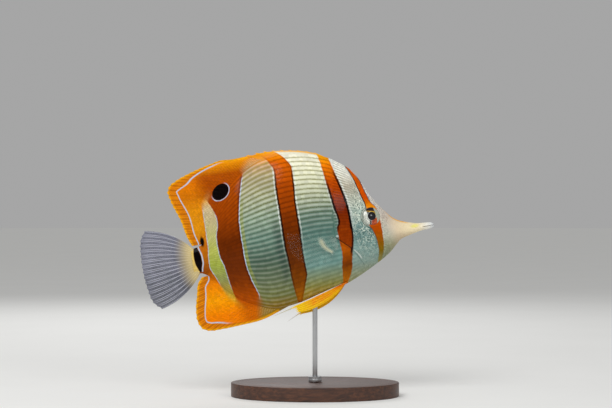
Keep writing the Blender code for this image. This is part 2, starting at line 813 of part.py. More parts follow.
def make_stand(trunk, wood, steel):
    """An oval base, a short rod that enters the belly between the pelvic fins, and its collar."""
    slab = bmesh.new()
    bmesh.ops.create_cone(
        slab, cap_ends=True, segments=48, radius1=0.5, radius2=0.5, depth=BASE_THICK
    )
    bmesh.ops.scale(slab, vec=(BASE_LENGTH, BASE_WIDTH, 1), verts=slab.verts)
    base = add_mesh("stand_base", slab, wood, None)
    base.location = (ROD_X * MM, 0, BASE_THICK / 2 * MM)
    edge = base.modifiers.new("rounded edge", "BEVEL")
    edge.width = BASE_BEVEL * MM
    edge.segments = 2
    edge.limit_method = "ANGLE"
    edge.angle_limit = math.radians(60)

    nose_up = math.radians(NOSE_UP_DEG)
    belly_z = AXIS_HEIGHT + ROD_X * math.sin(nose_up) + belly_at(ROD_X) * math.cos(nose_up)
    rod_foot = BASE_THICK - ROD_IN_BASE
    rod_top = belly_z + ROD_IN_BODY
    round_bar("stand_rod", ROD_RADIUS, rod_foot, rod_top, ROD_X, steel)
    hole = round_bar("rod_hole", ROD_RADIUS + GAP, rod_foot - GAP, rod_top + GAP, ROD_X, steel)
    carve(base, hole)
    carve(trunk, hole)
    ring = turned(
        (
            (ROD_RADIUS + GAP, 0),
            (COLLAR_RADIUS, 0),
            (COLLAR_RADIUS, COLLAR_HEIGHT * 0.6),
            (COLLAR_RADIUS * 0.7, COLLAR_HEIGHT),
            (ROD_RADIUS + GAP, COLLAR_HEIGHT),
            (ROD_RADIUS + GAP, 0),
        ),
        20,
    )
    collar = add_mesh("stand_collar", ring, steel, None, sharp_deg=30.0)
    collar.location = (ROD_X * MM, 0, (BASE_THICK + GAP) * MM)


def main():
    """Clears the scene and builds the fish and its stand."""
    for old in list(bpy.data.objects):
        bpy.data.objects.remove(old)

    pose = bpy.data.objects.new("fish_pose", None)
    bpy.context.scene.collection.objects.link(pose)
    pose.location = (0, 0, AXIS_HEIGHT * MM)
    pose.rotation_euler = (0, -math.radians(NOSE_UP_DEG), 0)

    flesh = material("scaled_flesh", (0.72, 0.74, 0.62))
    snout_skin = material("snout_skin", (0.86, 0.74, 0.6))
    eye_finish = material("eye", (0.02, 0.02, 0.03), 0.08)
    orange_fin = material("orange_fin", (0.85, 0.32, 0.02))
    tail_membrane = material("tail_membrane", (0.6, 0.6, 0.66), 0.35)
    clear_fin = material("clear_fin", (0.75, 0.78, 0.75), 0.3)
    yellow_fin = material("yellow_fin", (0.95, 0.55, 0.02))
    wood = material("stand_wood", (0.1, 0.05, 0.03), 0.4)
    steel = material("stand_steel", (0.6, 0.6, 0.6), 0.3, 1.0)

    trunk = make_trunk(pose, flesh)
    head = make_head(pose, flesh, snout_skin)
    make_gill_covers(pose, head, flesh)
    make_eyes(pose, head, eye_finish, flesh)
    make_spiny_dorsal(pose, orange_fin)
    make_soft_dorsal(pose, orange_fin)
    make_anal(pose, orange_fin)
    make_tail(pose, tail_membrane)
    make_pectorals(pose, clear_fin)
    make_pelvics(pose, yellow_fin)
    make_stand(trunk, wood, steel)


main()
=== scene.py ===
"""Looks of a copperband butterflyfish, a still, life-size museum model on a display stand.

Lengths on the fish are millimetres in its own frame: u runs forward along the body, v up and w out to
its left side. to_row tips that frame nose up and lifts it over the stand, in metres.
"""

from __future__ import annotations

import logging
import math
from contextlib import contextmanager
from dataclasses import dataclass, field
from enum import Enum
from typing import Callable, Iterator, Sequence

import bpy
import mathutils
import numpy as np
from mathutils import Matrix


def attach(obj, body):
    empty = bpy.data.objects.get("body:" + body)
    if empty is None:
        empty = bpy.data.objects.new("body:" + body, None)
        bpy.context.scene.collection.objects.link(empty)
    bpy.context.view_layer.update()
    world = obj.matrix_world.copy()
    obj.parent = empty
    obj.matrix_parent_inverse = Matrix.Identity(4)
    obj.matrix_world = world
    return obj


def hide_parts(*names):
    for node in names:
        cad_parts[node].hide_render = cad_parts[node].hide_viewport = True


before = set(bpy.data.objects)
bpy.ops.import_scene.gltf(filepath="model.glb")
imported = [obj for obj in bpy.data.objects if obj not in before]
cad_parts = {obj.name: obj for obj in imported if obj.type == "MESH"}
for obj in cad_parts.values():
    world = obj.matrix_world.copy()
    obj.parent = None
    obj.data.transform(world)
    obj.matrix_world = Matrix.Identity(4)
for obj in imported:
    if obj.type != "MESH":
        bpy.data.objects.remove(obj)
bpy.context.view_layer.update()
log = logging.getLogger("butterflyfish")

MM = 0.001
NOSE_UP = math.radians(9.0)
AXIS_HEIGHT = 75.5
COAT_DEPTH = 0.12
MERGE = 2e-6
CHART_EDGE, CHART_SPAN, PATCH = 0.015, 0.97, 0.003
SCALE_CREASE, STAND_CREASE = math.radians(50), math.radians(35)
OUTWARD = np.array([0.0, 0.0, 1.0])
NO_LINE = 9.0

Array = np.ndarray
Knots = Sequence[tuple[float, float]]
Half = Callable[[Array, Array], Array]
Stops = Sequence[tuple[float, int, int, int]]
Colour = tuple[float, float, float, float]
Object = bpy.types.Object
Material = bpy.types.Material


class Side(Enum):
    """The fish's two sides, by the sign of w."""

    RIGHT = -1
    LEFT = 1


class Slot(Enum):
    """The material slots."""

    FLESH = "scaled_flesh"
    SNOUT = "snout_skin"
    EYE = "eye"
    ORANGE_FIN = "orange_fin"
    TAIL = "tail_membrane"
    CLEAR_FIN = "clear_fin"
    YELLOW_FIN = "yellow_fin"
    WOOD = "stand_wood"
    STEEL = "stand_steel"


def ease(value: Array | float, low: float, high: float) -> Array:
    """A smooth rise from 0 at low to 1 at high."""
    f = np.clip((np.asarray(value, float) - low) / (high - low), 0, 1)
    return f * f * (3 - 2 * f)


def mix(a: Array | float, b: Array | float, share: Array | float) -> Array | float:
    """The value that lies between a and b by a share."""
    return a + (b - a) * share


def bump(value: Array, centre: Array | float, width: float) -> Array:
    """A rounded hill of height 1 around a centre."""
    return np.exp(-(((value - centre) / width) ** 2))


def to_row(points: Array) -> Array:
    """Points of the fish's frame in the row frame, in metres.

    Args:
        points: Points of the fish's frame, in millimetres.

    Returns:
        The same points in the row frame.
    """
    u, v, w = np.moveaxis(points, -1, 0)
    x = u * math.cos(NOSE_UP) - v * math.sin(NOSE_UP)
    z = AXIS_HEIGHT + u * math.sin(NOSE_UP) + v * math.cos(NOSE_UP)
    return np.stack([x, w, z], axis=-1) * MM


def unit(vectors: Array) -> Array:
    """Vectors at length 1."""
    return vectors / np.maximum(np.linalg.norm(vectors, axis=-1, keepdims=True), 1e-9)


def srgb(red: int, green: int, blue: int) -> Colour:
    """A colour seen on a screen, as the shader takes it.

    Args:
        red, green, blue: The colour from 0 to 255.

    Returns:
        The shader's colour.
    """
    parts = [c / 255 for c in (red, green, blue)]
    linear = [c / 12.92 if c <= 0.04045 else ((c + 0.055) / 1.055) ** 2.4 for c in parts]
    return (linear[0], linear[1], linear[2], 1.0)


class Graph:
    """A smooth curve through (place, value) knots that never overshoots them."""

    def __init__(self, *knots: tuple[float, float]) -> None:
        """Works out the curve's slope at each knot.

        Args:
            knots: Places and values, in any order.
        """
        self.places, self.values = np.array(sorted(knots), float).T
        self.steps = np.diff(self.places)
        slopes = np.diff(self.values) / self.steps
        before, after = slopes[:-1], slopes[1:]
        total = np.where(before * after > 0, before + after, 1.0)
        inner = np.where(before * after > 0, 2 * before * after / total, 0.0)
        self.tangents = np.concatenate([slopes[:1], inner, slopes[-1:]])

    def __call__(self, place: Array | float) -> Array:
        """The curve's value at one place or many.

        Args:
            place: The place, or an array of them.

        Returns:
            The values.
        """
        place = np.clip(place, self.places[0], self.places[-1])
        i = np.clip(np.searchsorted(self.places, place) - 1, 0, len(self.steps) - 1)
        f = (place - self.places[i]) / self.steps[i]
        start = self.values[i] * (1 + 2 * f) * (1 - f) ** 2 + self.values[i + 1] * f * f * (3 - 2 * f)
        bend = self.tangents[i] * f * (1 - f) ** 2 - self.tangents[i + 1] * f * f * (1 - f)
        return start + bend * self.steps[i]


class Line:
    """A smooth line through points of the side view, read by its share of length."""

    def __init__(self, *points: tuple[float, float]) -> None:
        """Samples the line.

        Args:
            points: (u, v) pairs in order.
        """
        knots = np.array(points, float)
        chords = np.linalg.norm(np.diff(knots, axis=0), axis=1)
        tangents = np.gradient(knots, np.concatenate([[0.0], np.cumsum(chords)]), axis=0)
        f = np.linspace(0, 1, 24, endpoint=False)[None, :, None]
        spans = (
            knots[:-1, None] * (1 + 2 * f) * (1 - f) ** 2
            + knots[1:, None] * f * f * (3 - 2 * f)
            + tangents[:-1, None] * chords[:, None, None] * f * (1 - f) ** 2
            - tangents[1:, None] * chords[:, None, None] * f * f * (1 - f)
        )
        self.samples = np.concatenate([spans.reshape(-1, 2), knots[-1:]])
        run = np.cumsum(np.linalg.norm(np.diff(self.samples, axis=0), axis=1))
        self.run = np.concatenate([[0.0], run])

    def __call__(self, share: Array) -> Array:
        """The points at shares of the line's length."""
        run = np.asarray(share) * self.run[-1]
        return np.stack([np.interp(run, self.run, self.samples[:, k]) for k in range(2)], axis=-1)

    def distance(self, points: Array) -> Array:
        """How far points of the side view lie from the line.

        Args:
            points: Points of the side view.

        Returns:
            Distances in millimetres.
        """
        flat = points.reshape(-1, 1, 2)
        start, step = self.samples[:-1], np.diff(self.samples, axis=0)
        share = np.clip(((flat - start) * step).sum(-1) / np.maximum((step**2).sum(-1), 1e-9), 0, 1)
        gap = np.linalg.norm(start + step * share[..., None] - flat, axis=-1)
        return gap.min(axis=1).reshape(points.shape[:-1])


def deselect() -> None:
    """Leaves edit mode and selects nothing."""
    if bpy.context.mode != "OBJECT":
        bpy.ops.object.mode_set(mode="OBJECT")
    bpy.ops.object.select_all(action="DESELECT")


def take(piece: Object) -> Object:
    """Selects one piece alone and makes it the active one.

    Args:
        piece: The piece.

    Returns:
        The same piece.
    """
    deselect()
    piece.select_set(True)
    bpy.context.view_layer.objects.active = piece
    return piece


def link(name: str, data: bpy.types.ID) -> Object:
    """Adds a mesh, a light or a camera to the scene as an object.

    Args:
        name: The object's name.
        data: What it holds.

    Returns:
        The object.
    """
    holder = bpy.data.objects.new(name, data)
    bpy.context.scene.collection.objects.link(holder)
    return holder


@contextmanager
def editing() -> Iterator[None]:
    """Edit mode on the active piece.

    Returns:
        A context that ends in object mode.
    """
    bpy.ops.object.mode_set(mode="EDIT")
    yield
    bpy.ops.object.mode_set(mode="OBJECT")


def close_up(piece: Object) -> None:
    """Merges a piece's doubled points and turns its faces outward.

    Args:
        piece: The piece.
    """
    take(piece)
    with editing():
        bpy.ops.mesh.select_all(action="SELECT")
        bpy.ops.mesh.remove_doubles(threshold=MERGE)
        bpy.ops.mesh.normals_make_consistent(inside=False)


def add_marks(mesh: bpy.types.Mesh, marks: dict[str, Array]) -> None:
    """Stores a number for each point of a mesh under each name.

    Args:
        mesh: The mesh.
        marks: Numbers for its points, by name.
    """
    for name, values in marks.items():
        attribute = mesh.attributes.new(name, "FLOAT", "POINT")
        attribute.data.foreach_set("value", np.asarray(values, np.float32).ravel())


def add_chart(mesh: bpy.types.Mesh, name: str, chart: Array) -> None:
    """Stores a UV map given at each point of a mesh.

    Args:
        mesh: The mesh.
        name: The map's name.
        chart: Two places on the map for each point.
    """
    corners = np.empty(len(mesh.loops), np.int32)
    mesh.loops.foreach_get("vertex_index", corners)
    layer = mesh.uv_layers.get(name) or mesh.uv_layers.new(name=name)
    layer.data.foreach_set("uv", chart.reshape(-1, 2)[corners].astype(np.float32).ravel())


@dataclass
class Sheet:
    """A primitive grid laid over points of the fish's frame, which becomes one piece.

    Its chart is an unwrap of the same grid, and its marks are given point by point.
    """

    name: str
    points: Array
    marks: dict[str, Array] = field(default_factory=dict)

    def build(self) -> Object:
        """Adds the grid and moves its points to their places.

        Returns:
            The piece, closed and smooth.
        """
        columns, rows = self.points.shape[:2]
        deselect()
        bpy.ops.mesh.primitive_grid_add(x_subdivisions=columns - 1, y_subdivisions=rows - 1, size=1)
        piece = bpy.context.active_object
        mesh = piece.data
        piece.name = mesh.name = self.name
        flat = np.empty(len(mesh.vertices) * 3, np.float32)
        mesh.vertices.foreach_get("co", flat)
        flat = flat.reshape(-1, 3)
        i = np.rint((flat[:, 0] + 0.5) * (columns - 1)).astype(int)
        j = np.rint((flat[:, 1] + 0.5) * (rows - 1)).astype(int)
        mesh.vertices.foreach_set("co", to_row(self.points[i, j]).astype(np.float32).ravel())
        mesh.uv_layers[0].name = "OFBake"
        sides = [np.linspace(0.01, 0.99, count) for count in (columns, rows)]
        chart = np.stack(np.meshgrid(*sides, indexing="ij"), axis=-1)
        add_chart(mesh, "OFBake", chart[i, j])
        add_marks(mesh, {name: values[i, j] for name, values in self.marks.items()})
        close_up(piece)
        bpy.ops.object.shade_smooth()
        return piece


@dataclass(frozen=True)
class BodyForm:
    """The flesh: its outline in side view and its half-width at each share of the height."""

    snout_tip: float = 73.9
    snout_root: float = 56.0
    tail_top: float = -46.4
    tail_low: float = -44.8
    flap_lift: float = 0.45
    flap_reach: float = 9.0
    eye_at: tuple[float, float] = (43.9, 7.7)
    mouth_share: float = 0.47
    nostrils: tuple[tuple[float, float, float], ...] = ((49.7, 6.9, 0.5), (51.2, 5.6, 0.4))
    lip_swell: float = 0.45
    cover_groove: float = 0.3
    cover_ridge: float = 0.16
    socket_depth: float = 2.3
    orbit_swell: float = 0.3
    nostril_depth: float = 0.5
    mouth_depth: float = 0.6
    back: Graph = Graph(
        (73.9, -0.7), (72.4, 0.1), (66.0, 0.7), (61.6, 1.9), (57.0, 3.6), (54.4, 5.3), (51.1, 9.1),
        (44.9, 18.1), (41.1, 26.3), (37.1, 32.5), (32.5, 36.3), (25.7, 40.6), (13.6, 44.2), (5.0, 45.0),
        (-5.7, 43.7), (-17.7, 38.5), (-29.6, 27.2), (-39.0, 12.6), (-42.6, 6.6), (-47.0, 5.4),
    )
    belly: Graph = Graph(
        (73.9, -2.3), (72.4, -2.9), (66.8, -3.5), (61.5, -4.7), (57.0, -6.0), (54.4, -8.1),
        (50.3, -11.8), (41.9, -16.8), (31.0, -22.1), (26.0, -24.0), (12.5, -26.9), (2.0, -29.5),
        (-8.4, -30.6), (-22.8, -25.7), (-31.9, -19.2), (-40.6, -9.6), (-44.6, -7.3), (-47.0, -7.0),
    )
    half_width: Graph = Graph(
        (73.9, 0.8), (72.0, 1.5), (66.0, 1.9), (56.0, 3.6), (44.0, 6.7), (38.0, 8.2), (30.0, 10.0),
        (18.0, 11.2), (6.0, 11.2), (-18.0, 8.0), (-30.0, 5.3), (-40.0, 3.1), (-47.0, 2.2),
    )
    widest_share: Graph = Graph((73.9, 0.5), (56.0, 0.48), (40.0, 0.42), (0.0, 0.42), (-47.0, 0.5))
    upper_fullness: Graph = Graph((73.9, 0.5), (50.0, 0.55), (30.0, 0.68), (0.0, 0.8), (-47.0, 0.6))
    lower_fullness: Graph = Graph((73.9, 0.5), (50.0, 0.62), (20.0, 0.55), (-10.0, 0.72), (-47.0, 0.6))
    back_flat: Graph = Graph((31.0, 0.0), (24.0, 0.9), (0.0, 1.2), (-30.0, 1.1), (-42.0, 0.8), (-47.0, 0.6))
    belly_flat: Graph = Graph((3.0, 0.0), (-5.0, 0.9), (-30.0, 1.1), (-42.0, 0.8), (-47.0, 0.6))
    gill_opening: Graph = Graph(
        (0.0, 38.5), (0.16, 35.3), (0.25, 32.3), (0.34, 26.3), (0.42, 25.0), (0.6, 26.0), (1.0, 29.4)
    )
    cover_front: Graph = Graph(
        (0.06, 40.0), (0.09, 42.2), (0.12, 42.0), (0.2, 39.4), (0.32, 37.2), (0.42, 36.2), (0.52, 31.0)
    )

    def share_of_height(self, u: Array | float, v: Array | float) -> Array:
        """The share of the body's height at a point of the side view."""
        return (v - self.belly(u)) / (self.back(u) - self.belly(u))

    def flesh_half(self, u: Array, share: Array) -> Array:
        """The half-width of the plain flesh.

        Args:
            u: Places along the body.
            share: Shares of the height, from the belly up.

        Returns:
            Half-widths in millimetres.
        """
        widest = self.widest_share(u)
        above = share >= widest
        away = np.where(above, (share - widest) / (1 - widest), (widest - share) / widest)
        flat = np.where(above, self.back_flat(u), self.belly_flat(u))
        fullness = np.where(above, self.upper_fullness(u), self.lower_fullness(u))
        round_part = np.maximum(0.0, 1 - away**2) ** fullness
        return flat + (self.half_width(u) - flat) * round_part

    def head_half(self, u: Array, share: Array) -> Array:
        """The half-width of the head, with its gill flap, cheek, orbit, nostrils and lips.

        Args:
            u: Places along the body.
            share: Shares of the height, from the belly up.

        Returns:
            Half-widths in millimetres.
        """
        plain = self.flesh_half(u, share)
        v = mix(self.belly(u), self.back(u), share)
        flap = ease(share, 0.03, 0.16) * (1 - ease(share, 0.5, 0.8))
        half = plain + self.flap_lift * flap * (1 - ease(u - self.gill_opening(share), 0.0, self.flap_reach))
        on_cover = ease(share, 0.07, 0.12) * (1 - ease(share, 0.44, 0.52))
        half = half - self.cover_groove * bump(u, self.cover_front(share), 0.42) * on_cover
        half = half + self.cover_ridge * bump(u, self.cover_front(share) - 1.2, 0.7) * on_cover
        radius = np.hypot(u - self.eye_at[0], v - self.eye_at[1])
        half = half - self.socket_depth * (1 - ease(radius, 4.0, 4.75))
        half = half + self.orbit_swell * bump(radius, 5.3, 0.8)
        for nostril_u, nostril_v, size in self.nostrils:
            half = half - self.nostril_depth * bump(np.hypot(u - nostril_u, v - nostril_v), 0.0, size * 0.9)
        near_mouth = 1 - ease(np.abs(share - self.mouth_share), 0.12, 0.34)
        half = half + self.lip_swell * ease(u, self.snout_tip - 3.0, self.snout_tip - 0.8) * near_mouth
        gape = bump(share, self.mouth_share, 0.022) * ease(u, 67.6, 69.4)
        half = half - self.mouth_depth * gape * np.minimum(half, 1.0)
        rounding = np.sqrt(np.maximum(0.0, 1 - ease(u, self.snout_tip - 0.9, self.snout_tip + 0.25) ** 2))
        return np.maximum(half * np.maximum(rounding, 0.3), 0.0)

    def surface(self, u: Array, share: Array, side: Side, half: Half, lift: Array | float = 0) -> Array:
        """Points off the skin.

        Args:
            u: Places along the body.
            share: Shares of the height.
            side: The fish's side.
            half: The half-width to use.
            lift: How far out of the skin, along its normal.

        Returns:
            Points of the fish's frame.
        """

        def plain(a: Array, b: Array) -> Array:
            """Points of the bare skin, on the side where w is above 0."""
            return np.stack([a + 0 * b, mix(self.belly(a), self.back(a), b), half(a, b)], axis=-1)

        centre = plain(u, share)
        lower, upper = np.clip(share - 0.012, 0, 1), np.clip(share + 0.012, 0, 1)
        out = np.cross(plain(u + 0.3, share) - plain(u - 0.3, share), plain(u, upper) - plain(u, lower))
        placed = centre + unit(out) * np.asarray(lift)[..., None]
        placed[..., 2] = np.maximum(placed[..., 2], 0.0) * side.value
        return placed

    def arc_step(self, u: Array, share: Array) -> Array:
        """Millimetres over the skin for one whole share of the height.

        Args:
            u: Places along the body.
            share: Shares of the height.

        Returns:
            Lengths in millimetres.
        """
        step = 0.01
        low, high = np.clip(share - step, 0, 1), np.clip(share + step, 0, 1)
        rise = (self.back(u) - self.belly(u)) * (high - low)
        return np.hypot(rise, self.flesh_half(u, high) - self.flesh_half(u, low)) / (high - low)


BODY = BodyForm()


@dataclass(frozen=True)
class SkinSheet:
    """The one skin over head, trunk, snout and stalk, with a real flap at the gill opening."""

    trunk_columns: int = 150
    head_columns: int = 120
    snout_columns: int = 72
    rows: int = 60
    tail_run: float = 3.4
    stalk_columns: int = 10
    behind_flap: float = 1.6
    before_flap: float = 0.6
    crowding: float = 1.25
    fold: tuple[tuple[float, float], ...] = (
        (-1.3, 0.0), (-0.8, -0.04), (-0.3, -0.14), (0.2, -0.3), (0.8, -0.34), (0.5, 0.02), (0.0, 0.14),
        (-0.45, 0.2), (-0.62, 0.28), (-0.66, 0.36), (-0.52, 0.43), (-0.2, 0.45), (0.3, 0.45),
    )

    def shares(self) -> Array:
        """Shares of the height, closer together at both ends and beside the mouth.

        Returns:
            The shares, from the belly up.
        """
        even = (1 - np.cos(np.linspace(0, math.pi, self.rows))) / 2
        mouth = BODY.mouth_share + np.array([-0.03, -0.02, -0.012, -0.006, 0, 0.006, 0.012, 0.02, 0.03])
        return np.unique(np.concatenate([even[np.abs(even - BODY.mouth_share) > 0.036], mouth]))

    def side_points(self, share: Array, side: Side) -> Array:
        """One side's points, from the tail fin's root to the tip of the snout.

        Args:
            share: Shares of the height.
            side: The fish's side.

        Returns:
            Points, columns by shares.
        """
        inset = -COAT_DEPTH
        opening = BODY.gill_opening(share)
        flap = ease(share, 0.03, 0.14) * (1 - ease(share, 0.5, 0.78))
        stalk_end = mix(BODY.tail_low, BODY.tail_top, share)
        parts = []
        for t in np.linspace(-1, 0, self.stalk_columns):
            u = stalk_end + t * self.tail_run
            part = BODY.surface(u, share, side, BODY.flesh_half, inset)
            taper = 1 - 0.9 * ease(-t, 0.0, 1.0)
            part[:, 2] *= taper if t > -1 else 0.0
            parts.append(part)
        for t in np.linspace(0, 1, self.trunk_columns)[1:]:
            u = mix(stalk_end, opening - self.behind_flap, t)
            parts.append(BODY.surface(u, share, side, BODY.flesh_half, inset))
        steps = len(self.fold)
        for k, (forward, lift) in enumerate(self.fold):
            plain = mix(self.fold[0][0], self.fold[-1][0], k / (steps - 1))
            u = opening + mix(plain, forward, flap)
            part = BODY.surface(u, share, side, BODY.flesh_half, inset)
            relief = BODY.head_half(u, share) - BODY.flesh_half(u, share) if k >= steps - 3 else 0.0
            part[:, 2] += side.value * mix(relief, lift, flap)
            parts.append(part)
        for t in np.linspace(0, 1, self.head_columns):
            u = mix(opening + self.before_flap, BODY.snout_root, t)
            parts.append(BODY.surface(u, share, side, BODY.head_half, inset))
        for t in np.linspace(0, 1, self.snout_columns)[1:]:
            u = mix(BODY.snout_root, BODY.snout_tip, 1 - (1 - t) ** self.crowding) + 0 * share
            parts.append(BODY.surface(u, share, side, BODY.head_half, inset * (1 - 0.8 * t)))
        middle = mix(BODY.belly(BODY.snout_tip), BODY.back(BODY.snout_tip), BODY.mouth_share)
        last = parts[-1].copy()
        for forward, shrink in ((0.05, 0.6), (0.05, 0.0)):
            part = last.copy()
            part[:, 0] += forward * (1 - 0.6 * bump(share, BODY.mouth_share, 0.05))
            part[:, 1] = mix(middle, part[:, 1], shrink)
            part[:, 2] *= shrink
            if shrink == 0.0:
                part[:, 0] = last[:, 0] + 0.04
            parts.append(part)
        return np.array(parts)

    def build(self) -> Object:
        """Lays the skin over both sides.

        Returns:
            The skin, one closed piece.
        """
        share = self.shares()
        right = self.side_points(share, Side.RIGHT)
        left = self.side_points(share, Side.LEFT)
        points = np.concatenate([right, left[:, ::-1], right[:, :1]], axis=1)
        return Sheet("fish_skin", points).build()


@dataclass(frozen=True)
class FinShape:
    """A fin's fine sheet: rays that branch, a thin membrane and a notched margin.

    Sizes are half-thicknesses in millimetres.
    """

    name: str
    rays: int
    columns_per_ray: int = 12
    rows: int = 44
    membrane: float = 0.13
    crest: float = 0.2
    branch_from: float = 0.35
    branch_gap: float = 0.17
    notch: float = 0.016
    root_depth: float = 1.2
    ripple: float = 0.12
    ripples: float = 17.0
    ripple_slant: float = 2.5
    crest_taper: float = 0.55
    ray_width: float = 0.085

    def grid(self) -> tuple[Array, Array]:
        """Shares across the fin and along its rays.

        Returns:
            Both shares at each point of the sheet.
        """
        across = np.linspace(0, 1, (self.rays - 1) * self.columns_per_ray + 1)
        along = np.concatenate([np.linspace(0, 0.9, self.rows - 6), 1 - 0.1 * np.linspace(0.8, 0, 6) ** 1.5])
        return np.meshgrid(across, np.unique(along), indexing="ij")

    def ray(self, across: Array, along: Array) -> Array:
        """How much of a ray a place holds, 1 on a ray's crest.

        Args:
            across: Shares across the fin.
            along: Shares along its rays.

        Returns:
            Values from 0 to 1.
        """
        phase = across * (self.rays - 1)
        away = np.abs(phase - np.rint(phase))
        parted = self.branch_gap * ease(along, self.branch_from, 0.75)
        twice = 0.45 * self.branch_gap * ease(along, 0.68, 1.0)
        return bump(np.abs(np.abs(away - parted)), twice, self.ray_width)

    def reach(self, across: Array) -> Array:
        """How far the margin lies out, a little less between two rays."""
        phase = across * (self.rays - 1)
        return 1 - self.notch * np.abs(np.sin(math.pi * phase))

    def closed(self, middle: Array, out: Array, half: Array, marks: dict[str, Array]) -> Object:
        """Makes the two faces from a middle sheet and joins them round the rim.

        Args:
            middle: Points of the middle sheet, columns by rows.
            out: The direction in which the sheet is thick.
            half: Half the thickness at each point.
            marks: Numbers kept at each point for the finish.

        Returns:
            The fin, one closed piece.
        """
        half = half.copy()
        half[:, 0] = half[:, -1] = 0.0
        half[0] = half[-1] = 0.0
        near = middle - out * half[..., None]
        far = middle + out * half[..., None]
        ring = np.concatenate([near, far[::-1]])
        marks = {name: np.concatenate([mark, mark[::-1]]) for name, mark in marks.items()}
        return Sheet(self.name, ring, marks).build()


def contour(edge: Graph, front: float, rear: float) -> Callable[[Array], Array]:
    """A fin's root line along the back or the belly.

    Args:
        edge: The back's or the belly's height.
        front: Where the root starts.
        rear: Where it ends.

    Returns:
        A function from shares to points of the side view.
    """

    def base(share: Array) -> Array:
        """The root line's points."""
        u = mix(front, rear, share)
        return np.stack([u, edge(u)], axis=-1)

    return base


@dataclass(frozen=True)
class MedianFin:
    """A fin in the fish's middle plane, from its root line to its margin."""

    shape: FinShape
    base: Callable[[Array], Array]
    margin: Line
    base_half: Callable[[Array], Array]
    line_depth: Graph
    thinning: float = 1.6
    bow: float = 0.0

    def span(self, shares: Array) -> Array:
        """The distance from the root line to the margin."""
        return np.linalg.norm(self.margin(shares) - self.base(shares), axis=-1)

    def lay(self, shares: Array, along: Array) -> tuple[Array, Array]:
        """Places in the fin's middle plane.

        Args:
            shares: Shares of the root line.
            along: Shares of the way to the margin.

        Returns:
            Points, and half the thickness there.
        """
        root, tip = self.base(shares), self.margin(shares)
        way = tip - root
        sideways = np.stack([-way[..., 1], way[..., 0]], axis=-1) / self.span(shares)[..., None]
        bow = -self.bow * (2 * shares - 1) * 4 * along * (1 - along)
        flat = root + way * along[..., None] + sideways * bow[..., None]
        settled = np.clip(along, 0, 1)
        half = mix(self.shape.membrane, self.base_half(shares), (1 - settled) ** self.thinning)
        crest = self.shape.crest * self.shape.ray(shares, settled)
        half = half + crest * ease(settled, 0.0, 0.2) * (1 - self.shape.crest_taper * settled)
        phase = shares * self.shape.ripples + settled * self.shape.ripple_slant
        wave = self.shape.ripple * np.sin(phase) * ease(settled, 0.3, 1.0)
        return np.concatenate([flat, wave[..., None]], axis=-1), half

    def build(self) -> Object:
        """Lays the fin's sheet.

        Returns:
            The fin.
        """
        shape = self.shape
        across, along = shape.grid()
        start = (-shape.root_depth / self.span(across[:, 0]))[:, None]
        along = start + (shape.reach(across[:, 0])[:, None] - start) * along
        middle, half = self.lay(across, along)
        settled = np.clip(along, 0, 1)
        rim = self.margin.distance(middle[..., :2])
        ray = shape.ray(across, settled)
        marks = {"ray": ray, "along": settled, "rim": rim, "blue": rim - self.line_depth(across)}
        return shape.closed(middle, OUTWARD, half, marks)


@dataclass(frozen=True)
class SpinyDorsal:
    """The front of the dorsal fin: nine stout spines with a notched membrane between them."""

    spines: int = 9
    front: float = 25.2
    rear: float = -5.8
    first: float = 0.8
    step: float = 3.65
    rake_front: float = 3.6
    rake_rear: float = 8.2
    spine_width: tuple[float, float] = (0.62, 0.24)
    spine_depth: tuple[float, float] = (0.62, 0.16)
    membrane: float = 0.12
    hollow: float = 0.2
    first_reach: float = 0.35
    last_reach: float = 0.93
    margin: Graph = Graph(
        (27.0, 40.9), (21.0, 43.4), (13.8, 45.7), (7.4, 47.0), (-1.0, 48.0), (-7.0, 48.2), (-14.0, 47.5)
    )

    def build(self) -> Object:
        """Lays the fin's sheet.

        Returns:
            The fin.
        """
        shape = FinShape("dorsal_spines_sheet", self.spines, rows=40)
        run = self.front - self.rear
        shares = np.linspace(0, 1, 200)
        phase = (shares * run - self.first) / self.step
        behind = phase - np.floor(phase)
        past = np.where(phase < 0, 0.0, behind)
        hollow = ease(past, 0.02, 0.2) * (1 - 0.8 * ease(past, 0.75, 0.99))
        reach = np.where(phase < 0, mix(self.first_reach, 1.0, ease(shares * run / self.first, 0, 1)),
                         1 - self.hollow * hollow)
        reach = np.where(phase > self.spines - 1, self.last_reach, reach)
        base = contour(BODY.back, self.front, self.rear)(shares)
        u = self.front - run * shares - mix(self.rake_front, self.rake_rear, shares)
        tip = np.stack([u, self.margin(u)], axis=-1)
        along = np.linspace(0, 1, shape.rows)[None, :] ** 0.9
        start = -shape.root_depth / np.linalg.norm(tip - base, axis=1)
        along = start[:, None] + (reach - start)[:, None] * along
        flat = base[:, None] + (tip - base)[:, None] * along[..., None]
        settled = np.clip(along, 0, 1)
        away = np.abs(phase - np.rint(phase)) * self.step
        spine = np.sqrt(np.maximum(0.0, 1 - (away[:, None] / mix(*self.spine_width, settled)) ** 2))
        half = mix(self.membrane, BODY.back_flat(base[:, 0])[:, None], (1 - settled) ** 1.4)
        half = np.maximum(half, mix(*self.spine_depth, settled) * spine)
        middle = np.concatenate([flat, np.zeros_like(settled)[..., None]], axis=-1)
        rim = np.abs(self.margin(flat[..., 0]) - flat[..., 1])
        marks = {"ray": spine, "along": settled, "rim": rim, "blue": np.full_like(rim, NO_LINE)}
        return shape.closed(middle, OUTWARD, half, marks)


